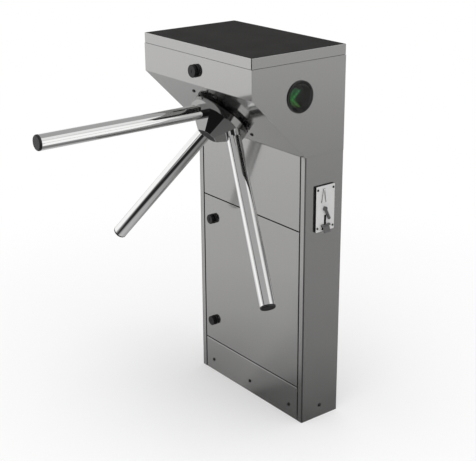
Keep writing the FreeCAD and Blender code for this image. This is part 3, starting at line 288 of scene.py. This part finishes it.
def left(tree, share):
    """What a share leaves of one."""
    return work(tree, "SUBTRACT", 1.0, share)


def spread(tree, value, low, high, start=NOISE_RANGE[0], end=NOISE_RANGE[1], kind="LINEAR"):
    """A value between start and end brought between low and high."""
    node = tree.nodes.new("ShaderNodeMapRange")
    node.interpolation_type = kind
    for label, number in (("From Min", start), ("From Max", end), ("To Min", low), ("To Max", high)):
        node.inputs[label].default_value = number
    link(tree, value, node.inputs["Value"])
    return node.outputs["Result"]


def eased(tree, value, start, end, low=0.0, high=1.0):
    """A soft step from low to high."""
    return spread(tree, value, low, high, start, end, "SMOOTHSTEP")


def faded(tree, value, start, end):
    """A soft step from one to nought."""
    return eased(tree, value, start, end, 1.0, 0.0)


def shades(tree, value, *stops):
    """Colours along a value."""
    node = tree.nodes.new("ShaderNodeValToRGB")
    ramp = node.color_ramp
    ramp.elements.remove(ramp.elements[1])
    ramp.elements[0].position = stops[0][0]
    ramp.elements[0].color = (*stops[0][1], 1.0)
    for place, colour in stops[1:]:
        ramp.elements.new(place).color = (*colour, 1.0)
    link(tree, value, node.inputs["Fac"])
    return node.outputs["Color"]


def varied(tree, value, colour, contrast, ends=NOISE_RANGE):
    """A colour, darker where a value is low and lighter where it is high."""
    return shades(tree, value, (ends[0], tint(colour, 1 - contrast)), (ends[1], tint(colour, 1 + contrast)))


def greys(tree, value, low, high, levels):
    """Greys at levels along a value from low to high."""
    share = spread(tree, value, 0.0, 1.0, low, high)
    return shades(tree, share, *[((place - low) / (high - low), grey(level)) for place, level in levels])


def mixed(tree, share, colour, other):
    """A colour, and the other one where the share is one."""
    node = tree.nodes.new("ShaderNodeMix")
    node.data_type = "RGBA"
    link(tree, share, node.inputs["Factor"])
    link(tree, colour, node.inputs["A"])
    if isinstance(other, tuple):
        node.inputs["B"].default_value = (*other, 1.0)
    else:
        link(tree, other, node.inputs["B"])
    return node.outputs["Result"]


def grain(tree, scale, stretch=EVEN, detail=3.0):
    """Noise through the piece, drawn out where stretch is small."""
    mapping = tree.nodes.new("ShaderNodeMapping")
    mapping.inputs["Scale"].default_value = stretch
    noise = tree.nodes.new("ShaderNodeTexNoise")
    noise.inputs["Scale"].default_value = scale
    noise.inputs["Detail"].default_value = detail
    noise.inputs["Roughness"].default_value = NOISE_ROUGHNESS
    link(tree, place_on(tree), mapping.inputs["Vector"])
    link(tree, mapping.outputs["Vector"], noise.inputs["Vector"])
    return noise.outputs["Fac"]


def relief(tree, shader, height, strength, distance):
    node = tree.nodes.new("ShaderNodeBump")
    node.inputs["Strength"].default_value = strength
    node.inputs["Distance"].default_value = distance
    link(tree, height, node.inputs["Height"])
    link(tree, node.outputs["Normal"], shader.inputs["Normal"])


# Finishes


def metal(name, colour, rough, scale, stretch=EVEN, depth=0.00002, contrast=0.06, bare=1.0):
    """Metal, bare or part milky: grain in colour, gloss and relief, with wide smudges in the gloss."""
    material, tree, shader = new_finish(name)
    shader.inputs["Metallic"].default_value = bare
    fine = grain(tree, scale, stretch, METAL_DETAIL)
    wide = grain(tree, SMUDGE_SCALE, detail=SMOOTH_DETAIL)
    link(tree, varied(tree, fine, colour, contrast, METAL_RANGE), shader.inputs["Base Color"])
    gloss = spread(tree, fine, rough - METAL_GLOSS, rough + METAL_GLOSS)
    smudges = spread(tree, wide, *SMUDGE_GLOSS)
    link(tree, work(tree, "ADD", gloss, smudges), shader.inputs["Roughness"])
    relief(tree, shader, fine, METAL_RELIEF, depth)
    return material


def coated(name, colour, rough, scale=900.0, specular=0.5):
    """Paint, plastic or rubber: clouds in colour, fine speckle in gloss and relief."""
    material, tree, shader = new_finish(name)
    shader.inputs["Specular IOR Level"].default_value = specular
    fine = grain(tree, scale)
    link(tree, varied(tree, grain(tree, COAT_CLOUDS), colour, COAT_CONTRAST), shader.inputs["Base Color"])
    link(tree, spread(tree, fine, rough - COAT_GLOSS, rough + COAT_GLOSS), shader.inputs["Roughness"])
    relief(tree, shader, fine, *COAT_RELIEF)
    return material


def marked(material, colour, zones):
    """The same finish with another colour in zones, where all of a zone's limits along its ways hold."""
    tree = material.node_tree
    base = tree.nodes["Principled BSDF"].inputs["Base Color"]
    place = place_on(tree)
    inside = 0.0
    for zone in zones:
        within = 1.0
        for way, low, high in zone:
            reach = along(tree, place, way)
            above = work(tree, "GREATER_THAN", reach, low)
            below = work(tree, "LESS_THAN", reach, high)
            within = product(tree, within, above, below)
        inside = work(tree, "MAXIMUM", inside, within)
    link(tree, mixed(tree, inside, base.links[0].from_socket, colour), base)
    return material


def sheet_steel(name):
    """Satin sheet with its grain lying level."""
    return metal(name, (0.48, 0.477, 0.469), rough=0.08, scale=6.0, stretch=ACROSS, depth=0.000006,
                 contrast=0.03, bare=0.96)


def pillar_steel_painted_shade(name):
    """Satin sheet, darker along its two front folds as a painted dark reflection, and on the edges beside
    the front panels as painted shade in the gaps.
    """
    x, y = PILLAR_CORNER
    folds = []
    edges = []
    for side in (-1.0, 1.0):
        outward = Vector((side, -1.0, 0.0)).normalized()
        fold = Vector((side * x, y, 0.0)).dot(outward)
        folds.append([(outward, fold - PAINTED_FOLD_REACH, EVERYWHERE)])
        edges.append([(TO_END * side, *PAINTED_GAP_SHADE_X), (TO_FRONT, 0.0, EVERYWHERE)])
    # The fold colour is a painted dark reflection; the near black on the strip edges is painted shade in the
    # door gaps
    folded = marked(sheet_steel(name), (0.19, 0.19, 0.188), folds)
    return marked(folded, grey(0.03), edges)


def kick_steel_painted_highlight(name):
    """Satin sheet with a painted highlight along its top edge."""
    # The brighter colour along the top edge is a painted highlight
    return marked(sheet_steel(name), (0.64, 0.636, 0.626), [[(UPWARD, KICK_HIGHLIGHT_Z, EVERYWHERE)]])


def hub_casting(name):
    """Polished casting with a black band round its foot."""
    foot = HUB_CENTRE.dot(HUB_AXIS) + HUB_BAND
    casting = metal(name, (0.42, 0.42, 0.415), rough=0.08, scale=160.0, depth=0.00001, contrast=0.03)
    return marked(casting, grey(0.012), [[(HUB_AXIS, -EVERYWHERE, foot)]])


def coin_plate(name):
    """Bright satin plate with painted shade on its ribs' sides, on its edges and round the slot, and with
    grey lugs.
    """
    plate = metal(name, (0.86, 0.86, 0.85), rough=0.38, scale=6.0, stretch=PLATE_GRAIN, bare=0.45)
    # Dark here is painted shade on the ribs' sides, the plate's edges and round the slot
    dark = [[(TO_END, COIN_FACE_X + low, COIN_FACE_X + high)] for low, high in (COIN_RIB, COIN_EDGE_SHADE)]
    dark.append([(TO_FRONT, *COIN_SLOT_SHADE_Y), (UPWARD, *COIN_SLOT_SHADE_Z)])
    lugs = [[(TO_END, COIN_FACE_X + COIN_RIB[0], EVERYWHERE), (UPWARD, *COIN_LUG_Z)]]
    return marked(marked(plate, grey(0.02), dark), grey(0.20), lugs)


def lit_arrow(name):
    """Arrow block lit green from small lamps along it, brightest at the tip, on a black board."""
    material, tree, shader = new_finish(name)
    place = place_on(tree)
    outward = work(tree, "ABSOLUTE", part_of(tree, place, "X"))
    lit = spread(tree, outward, 0.0, 1.0, *LAMP_BOARD_X)
    bulbs = spread(tree, outward, 0.0, LAMP_BULB_POWER, *LAMP_BULB_X)
    tip = spread(tree, part_of(tree, place, "Y"), 1.0, LAMP_TAIL_POWER, *LAMP_TIP_Y)
    high = spread(tree, part_of(tree, place, "Z"), 0.0, 1.0, *LAMP_HEIGHT_Z)
    speck = grain(tree, LAMP_SPECK, detail=SMOOTH_DETAIL)
    strength = product(tree, lit, tip, spread(tree, speck, *LAMP_UNEVEN))
    link(tree, work(tree, "ADD", strength, bulbs), shader.inputs["Emission Strength"])
    link(tree, shades(tree, high, *LAMP_GREENS), shader.inputs["Emission Color"])
    link(tree, shades(tree, speck, *zip(NOISE_RANGE, LAMP_BODY)), shader.inputs["Base Color"])
    shader.inputs["Roughness"].default_value = LAMP_ROUGH
    return material


def smoked_lens(name):
    """Smoked clear plastic with faint moulding waves."""
    material, tree, shader = new_finish(name)
    shader.inputs["Transmission Weight"].default_value = LENS_CLEAR
    shader.inputs["IOR"].default_value = LENS_IOR
    waves = grain(tree, LENS_WAVES, detail=SMOOTH_DETAIL)
    link(tree, shades(tree, waves, *zip(NOISE_RANGE, LENS_TINTS)), shader.inputs["Base Color"])
    link(tree, spread(tree, waves, *LENS_ROUGH), shader.inputs["Roughness"])
    relief(tree, shader, waves, *LENS_RELIEF)
    return material


def circuit_board(name):
    """Green board with paler tracks; dark blue relays and a green terminal strip stand up from it."""
    material, tree, shader = new_finish(name)
    place = place_on(tree)
    mapping = tree.nodes.new("ShaderNodeMapping")
    mapping.inputs["Rotation"].default_value = BOARD_TURN
    tracks = tree.nodes.new("ShaderNodeTexBrick")
    tracks.inputs["Scale"].default_value = TRACK_SCALE
    tracks.inputs["Mortar Size"].default_value = TRACK_WIDTH
    for label, colour in BOARD_COLOURS.items():
        tracks.inputs[label].default_value = (*colour, 1.0)
    link(tree, place, mapping.inputs["Vector"])
    link(tree, mapping.outputs["Vector"], tracks.inputs["Vector"])
    proud = spread(tree, part_of(tree, place, "Y"), 1.0, 0.0, *BOARD_FACE_Y)
    upper = spread(tree, part_of(tree, place, "Z"), 0.0, 1.0, *RELAY_FOOT_Z)
    parts = shades(tree, upper, *PART_COLOURS)
    link(tree, mixed(tree, proud, tracks.outputs["Color"], parts), shader.inputs["Base Color"])
    link(tree, spread(tree, grain(tree, BOARD_SPECK), *BOARD_ROUGH), shader.inputs["Roughness"])
    relief(tree, shader, tracks.outputs["Fac"], *BOARD_RELIEF)
    return material


# A finish for each slot of the record, and the pieces that have their own
FINISHES = {
    "sheet_steel": sheet_steel("satin_sheet_steel"),
    "bare_steel": metal("machined_steel", (0.46, 0.46, 0.455), rough=0.30, scale=900.0),
    "floor_steel": coated("grey_primer", (0.10, 0.105, 0.11), rough=0.55),
    "arm_tube": metal("polished_tube", (0.94, 0.94, 0.935), rough=0.05, scale=120.0, contrast=0.02),
    "hub_metal": hub_casting("polished_casting"),
    "cast_aluminium": metal("cast_aluminium", grey(0.55), rough=0.42, scale=420.0, depth=0.00008),
    "brass_gear": metal("cut_brass", (0.62, 0.44, 0.17), rough=0.28, scale=700.0),
    # The coin plate's finish carries painted shade
    "coin_plate": coin_plate("satin_plate_painted_shade"),
    "dark_zinc": metal("dark_zinc", grey(0.20), rough=0.30, scale=300.0),
    "black_metal": coated("black_enamel", grey(0.012), rough=0.32),
    "black_plastic": coated("black_plastic", grey(0.014), rough=0.42),
    "top_board": coated("black_top_board", (0.014, 0.0132, 0.0126), rough=0.60, scale=1400.0, specular=0.03),
    "smoked_lens": smoked_lens("smoked_lens"),
    "green_led": lit_arrow("green_lamps"),
    "circuit_board": circuit_board("circuit_board"),
    "rubber_ring": coated("black_rubber", grey(0.015), rough=0.70, scale=500.0),
}
KNOB_BLACK = coated("black_knobs", grey(0.009), rough=0.36, specular=0.34)
OWN_FINISHES = {
    # The pillar and kick panel finishes carry painted shade and a painted highlight
    "pillar_shell": pillar_steel_painted_shade("sheet_steel_painted_fold_and_gap_shade"),
    "kick_panel": kick_steel_painted_highlight("sheet_steel_painted_top_highlight"),
    "hub_flange": metal("dark_casting", (0.14, 0.14, 0.138), rough=0.12, scale=160.0, depth=0.00001,
                        contrast=0.05),
    "hub_cap": coated("matt_black_cover", grey(0.009), rough=0.50, specular=0.2),
    "coin_frame": coated("matt_black_housing", grey(0.010), rough=0.60, specular=0.2),
    "cabinet_screws": metal("dark_screw_steel", (0.07, 0.07, 0.069), rough=0.14, scale=400.0),
    "lid_lock": KNOB_BLACK,
    "door_lock_upper": KNOB_BLACK,
    "door_lock_lower": KNOB_BLACK,
}
for part in frame["record"]["subparts"]:
    piece = nodes[part["node"]]
    piece.data.materials.clear()
    piece.data.materials.append(OWN_FINISHES.get(part["node"], FINISHES[part["material_slot"]]))


# Small screws


def screw_tree(name):
    """Domed screw heads with a key hole, one on each point, turned as the point says."""
    tree = bpy.data.node_groups.new(name, "GeometryNodeTree")
    sockets = {}
    for label, kind in (("Points", "Geometry"), ("Head Radius", "Float"), ("Head Height", "Float"),
                        ("Finish", "Material")):
        sockets[label] = tree.interface.new_socket(label, in_out="INPUT", socket_type="NodeSocket" + kind)
    tree.interface.new_socket("Screws", in_out="OUTPUT", socket_type="NodeSocketGeometry")
    given = tree.nodes.new("NodeGroupInput")
    made = tree.nodes.new("NodeGroupOutput")
    radius = given.outputs["Head Radius"]
    height = given.outputs["Head Height"]
    head = tree.nodes.new("GeometryNodeMeshCone")
    head.inputs["Vertices"].default_value = SCREW_SIDES
    link(tree, radius, head.inputs["Radius Bottom"])
    link(tree, product(tree, radius, HEAD_TOP), head.inputs["Radius Top"])
    link(tree, height, head.inputs["Depth"])
    key = tree.nodes.new("GeometryNodeMeshCylinder")
    key.inputs["Vertices"].default_value = KEY_SIDES
    link(tree, product(tree, radius, KEY_RADIUS), key.inputs["Radius"])
    link(tree, product(tree, height, KEY_DEPTH), key.inputs["Depth"])
    lift = tree.nodes.new("GeometryNodeTransform")
    offset = tree.nodes.new("ShaderNodeCombineXYZ")
    link(tree, height, offset.inputs["Z"])
    link(tree, key.outputs["Mesh"], lift.inputs["Geometry"])
    link(tree, offset.outputs["Vector"], lift.inputs["Translation"])
    cut = tree.nodes.new("GeometryNodeMeshBoolean")
    cut.operation = "DIFFERENCE"
    link(tree, head.outputs["Mesh"], cut.inputs["Mesh 1"])
    link(tree, lift.outputs["Geometry"], cut.inputs["Mesh 2"])
    turn = tree.nodes.new("GeometryNodeInputNamedAttribute")
    turn.data_type = "FLOAT_VECTOR"
    turn.inputs["Name"].default_value = "turn"
    rotation = tree.nodes.new("FunctionNodeEulerToRotation")
    link(tree, turn.outputs["Attribute"], rotation.inputs["Euler"])
    copies = tree.nodes.new("GeometryNodeInstanceOnPoints")
    link(tree, given.outputs["Points"], copies.inputs["Points"])
    link(tree, cut.outputs["Mesh"], copies.inputs["Instance"])
    link(tree, rotation.outputs["Rotation"], copies.inputs["Rotation"])
    real = tree.nodes.new("GeometryNodeRealizeInstances")
    link(tree, copies.outputs["Instances"], real.inputs["Geometry"])
    paint = tree.nodes.new("GeometryNodeSetMaterial")
    link(tree, real.outputs["Geometry"], paint.inputs["Geometry"])
    link(tree, given.outputs["Finish"], paint.inputs["Material"])
    link(tree, paint.outputs["Geometry"], made.inputs["Screws"])
    return tree, sockets


SCREWS, SCREW_INPUTS = screw_tree("domed_screws")


def screws(name, body, slot, places, radius, height):
    """Screw heads at places with the way that each one faces, as one plain mesh."""
    mesh = bpy.data.meshes.new(name + "_points")
    mesh.from_pydata([place + facing * (height / 2) for place, facing in places], [], [])
    turns = mesh.attributes.new("turn", "FLOAT_VECTOR", "POINT")
    for index, (_, facing) in enumerate(places):
        turns.data[index].vector = facing.to_track_quat("Z", "Y").to_euler()
    maker = put(name + "_maker", mesh)
    modifier = maker.modifiers.new("screws", "NODES")
    modifier.node_group = SCREWS
    modifier[SCREW_INPUTS["Head Radius"].identifier] = radius
    modifier[SCREW_INPUTS["Head Height"].identifier] = height
    modifier[SCREW_INPUTS["Finish"].identifier] = FINISHES[slot]
    bpy.context.view_layer.update()
    graph = bpy.context.evaluated_depsgraph_get()
    made = bpy.data.meshes.new_from_object(maker.evaluated_get(graph))
    made.name = name
    bpy.data.objects.remove(maker)
    piece = put(name, made)
    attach(piece, body)


def coin_screw_places():
    """The four corners of the coin plate."""
    return [(Vector((COIN_FACE_X, y, COIN_MIDDLE_Z + z)), TO_END) for y, z in COIN_SCREWS]


def hub_screw_places():
    """The screw on the hub's rim that holds each arm."""
    outward = [Matrix.Rotation(math.radians(turn), 3, HUB_AXIS) @ HUB_RIM for turn in HUB_TURNS]
    return [(HUB_CENTRE + out * HUB_SCREW_REACH + HUB_AXIS * HUB_SCREW_RISE, out) for out in outward]


def hinge_screw_places(z):
    """A row along one leaf of the lid's hinge."""
    first = -HINGE_SCREW_SPACING * (HINGE_SCREW_COUNT - 1) / 2
    steps = [first + HINGE_SCREW_SPACING * index for index in range(HINGE_SCREW_COUNT)]
    return [(Vector((x, HINGE_BACK_Y, z)), TO_BACK) for x in steps]


screws("coin_plate_screws", "cabinet", "black_metal", coin_screw_places(),
       COIN_SCREW_RADIUS, COIN_SCREW_HEIGHT)
screws("hub_grub_screws", "rotor", "bare_steel", hub_screw_places(), HUB_SCREW_RADIUS, HUB_SCREW_HEIGHT)
for body, row_z in HINGE_ROWS.items():
    row = hinge_screw_places(row_z)
    screws(body + "_hinge_screws", body, "bare_steel", row, HINGE_SCREW_RADIUS, HINGE_SCREW_HEIGHT)


# Floor, light and camera


def towards(tree, vector, length, azimuth):
    """How nearly a vector on the plan points to an azimuth, measured from the front towards +X."""
    turn = math.radians(azimuth)
    reach = along(tree, vector, (math.sin(turn), -math.cos(turn), 0.0))
    return work(tree, "DIVIDE", reach, length)


def blended(tree, share, shader, other):
    """A shader, and the other one where the share is one."""
    node = tree.nodes.new("ShaderNodeMixShader")
    link(tree, share, node.inputs["Fac"])
    link(tree, shader, node.inputs[1])
    link(tree, other, node.inputs[2])
    return node.outputs["Shader"]


def glow(tree, kind, strength):
    """White light from a background or a surface."""
    node = tree.nodes.new(kind)
    node.inputs["Color"].default_value = (1.0, 1.0, 1.0, 1.0)
    if isinstance(strength, float):
        node.inputs["Strength"].default_value = strength
    else:
        link(tree, strength, node.inputs["Strength"])
    return node.outputs[0]


def lopsided(tree, vector, length):
    """Brightest towards the light side of the room."""
    return eased(tree, towards(tree, vector, length, LIGHT_AZIMUTH), *LIGHT_WIDTH, *LIGHT_LEVELS)


def closed(tree, vector, length, open_by):
    """One, but nought in the bright window of the dark side of the room."""
    window = eased(tree, towards(tree, vector, length, WINDOW_AZIMUTH), *WINDOW_WIDTH)
    return left(tree, product(tree, window, open_by))


def flat_mesh(name, shape):
    """A square of one by one, stretched, turned and moved as the shape says."""
    mesh = bpy.data.meshes.new(name)
    form = bmesh.new()
    bmesh.ops.create_grid(form, x_segments=2, y_segments=2, size=0.5)
    form.transform(shape)
    form.to_mesh(mesh)
    form.free()
    return mesh


def floor_distance(tree, place):
    """How far a place on the floor lies from the pillar's foot."""
    squares = []
    for axis, half in zip("XY", FOOT):
        beyond = work(tree, "SUBTRACT", work(tree, "ABSOLUTE", part_of(tree, place, axis)), half)
        beyond = work(tree, "MAXIMUM", beyond, 0.0)
        squares.append(product(tree, beyond, beyond))
    return work(tree, "SQRT", work(tree, "ADD", *squares))


def studio_floor():
    """White to the eye, with the object's shadow; dim in reflections, with a painted shadow near the
    pillar's foot there, and dark where the camera stands.
    """
    stretch = Matrix.Diagonal((2 * FLOOR_REACH, 2 * FLOOR_REACH, 1.0, 1.0))
    floor = put("studio_floor", flat_mesh("studio_floor", stretch))
    material, tree, shader = new_finish("pale_floor")
    place = place_on(tree)
    away = floor_distance(tree, place)
    measure = tree.nodes.new("ShaderNodeVectorMath")
    measure.operation = "LENGTH"
    link(tree, place, measure.inputs[0])
    radius = work(tree, "MAXIMUM", measure.outputs["Value"], SMALL_RADIUS)
    dark = product(tree, eased(tree, towards(tree, place, radius, DARK_AZIMUTH), *DARK_FLOOR_WIDTH),
                   eased(tree, radius, *DARK_DISTANCE, *DARK_SHARES),
                   closed(tree, place, radius, eased(tree, radius, *WINDOW_DISTANCE)))
    sided = work(tree, "MAXIMUM", lopsided(tree, place, radius), eased(tree, away, *FAR_FLOOR, *FAR_LEVELS))
    # The levels darken towards the pillar's foot as a painted shadow that only reflections show
    room = product(tree, greys(tree, away, 0.0, FLOOR_REACH, FLOOR_LEVELS), sided,
                   left(tree, product(tree, dark, DARK_DEPTH)))
    clouds = grain(tree, FLOOR_CLOUDS, detail=SMOOTH_DETAIL)
    link(tree, shades(tree, clouds, *zip(NOISE_RANGE, FLOOR_WHITES)), shader.inputs["Base Color"])
    shader.inputs["Roughness"].default_value = FLOOR_ROUGH
    shader.inputs["Specular IOR Level"].default_value = FLOOR_SPECULAR
    rays = tree.nodes.new("ShaderNodeLightPath")
    fade = product(tree, eased(tree, away, *SHADOW_FADE, *SHADOW_LEVELS), rays.outputs["Is Camera Ray"])
    seen = blended(tree, fade, shader.outputs["BSDF"], glow(tree, "ShaderNodeEmission", WHITE))
    shown = blended(tree, rays.outputs["Is Glossy Ray"], seen, glow(tree, "ShaderNodeEmission", room))
    link(tree, shown, tree.nodes["Material Output"].inputs["Surface"])
    floor.data.materials.append(material)


def room_light(tree, place):
    """What reflections show: a grey ceiling with a skylight, a white band and a dark side by the camera."""
    height = part_of(tree, place, "Z")
    square = work(tree, "MAXIMUM", left(tree, product(tree, height, height)), SMALL_SQUARE)
    plan = work(tree, "SQRT", square)

    def patch(azimuth, width):
        return eased(tree, towards(tree, place, plan, azimuth), *width)

    slope = product(tree, towards(tree, place, plan, LIGHT_AZIMUTH), ROOM_SLOPE)
    band = greys(tree, work(tree, "ADD", height, slope), -1.0, 1.0, ROOM_LEVELS)
    low = faded(tree, height, *HORIZON)
    side = work(tree, "ADD", product(tree, lopsided(tree, place, plan), low), left(tree, low))
    dark = product(tree, patch(DARK_AZIMUTH, DARK_WALL_WIDTH), faded(tree, height, *DARK_TOP),
                   closed(tree, place, plan, faded(tree, height, *WINDOW_TOP)))
    dim = product(tree, patch(DIM_AZIMUTH, DIM_WIDTH), faded(tree, height, *DIM_TOP))
    shut = work(tree, "MAXIMUM", product(tree, dark, DARK_DEPTH), product(tree, dim, DIM_DEPTH))
    skylight = product(tree, patch(SKYLIGHT_AZIMUTH, SKYLIGHT_WIDTH), eased(tree, height, *SKYLIGHT_FOOT),
                       faded(tree, height, *SKYLIGHT_TOP), SKYLIGHT_LEVEL)
    return work(tree, "MAXIMUM", product(tree, band, side, left(tree, shut)), skylight)


def studio_world():
    """White behind the object, plain light on it, and a room in its reflections."""
    world = bpy.data.worlds.new("studio")
    bpy.context.scene.world = world
    world.use_nodes = True
    tree = world.node_tree
    tree.nodes.clear()
    out = tree.nodes.new("ShaderNodeOutputWorld")
    room = room_light(tree, tree.nodes.new("ShaderNodeTexCoord").outputs["Generated"])
    rays = tree.nodes.new("ShaderNodeLightPath")
    mirrored = work(tree, "MAXIMUM", rays.outputs["Is Glossy Ray"], rays.outputs["Is Transmission Ray"])
    plain = glow(tree, "ShaderNodeBackground", PLAIN_LIGHT)
    lit = blended(tree, mirrored, plain, glow(tree, "ShaderNodeBackground", room))
    shown = blended(tree, rays.outputs["Is Camera Ray"], lit, glow(tree, "ShaderNodeBackground", WHITE))
    link(tree, shown, out.inputs["Surface"])


def white_card(name):
    """A tall bright panel that only the polished metal sees."""
    turn = (CARD_AIM - CARD_PLACE).to_track_quat("Z", "Y").to_matrix().to_4x4()
    stretch = Matrix.Diagonal((CARD_WIDTH, CARD_HEIGHT, 1.0, 1.0))
    card = put(name, flat_mesh(name, Matrix.Translation(CARD_PLACE) @ turn @ stretch))
    material, tree, shader = new_finish(name)
    whites = shades(tree, grain(tree, CARD_CLOUDS), *zip(NOISE_RANGE, CARD_WHITES))
    link(tree, whites, shader.inputs["Emission Color"])
    strength = eased(tree, part_of(tree, place_on(tree), "Z"), *CARD_FADE_Z, *CARD_LEVELS)
    link(tree, strength, shader.inputs["Emission Strength"])
    shader.inputs["Base Color"].default_value = (0.0, 0.0, 0.0, 1.0)
    card.data.materials.append(material)
    card.visible_camera = False
    card.visible_diffuse = False
    card.visible_shadow = False


def softbox(name):
    """One wide lamp above the object, which reflections don't show."""
    light = bpy.data.lights.new(name, "AREA")
    light.shape = "RECTANGLE"
    light.size = SOFTBOX_SIDE
    light.size_y = SOFTBOX_SIDE
    light.energy = SOFTBOX_POWER
    holder = put(name, light)
    holder.location = SOFTBOX_PLACE
    holder.rotation_euler = (SOFTBOX_AIM - SOFTBOX_PLACE).to_track_quat("-Z", "Y").to_euler()
    holder.visible_glossy = False


def photo_camera(name):
    """The camera fitted to the photograph."""
    data = bpy.data.cameras.new(name)
    data.sensor_fit = "HORIZONTAL"
    data.sensor_width = SENSOR
    data.lens = FOCAL_PIXELS / IMAGE_WIDTH * SENSOR
    camera = put(name, data)
    camera.location = CAMERA_PLACE
    turn = CAMERA_AIM.to_track_quat("-Z", "Y").to_matrix() @ Matrix.Rotation(CAMERA_ROLL, 3, "Z")
    camera.rotation_euler = turn.to_euler()
    bpy.context.scene.camera = camera


studio_floor()
studio_world()
white_card("side_card")
softbox("overhead_softbox")
photo_camera("photo_camera")
bpy.context.scene.view_settings.view_transform = "Standard"
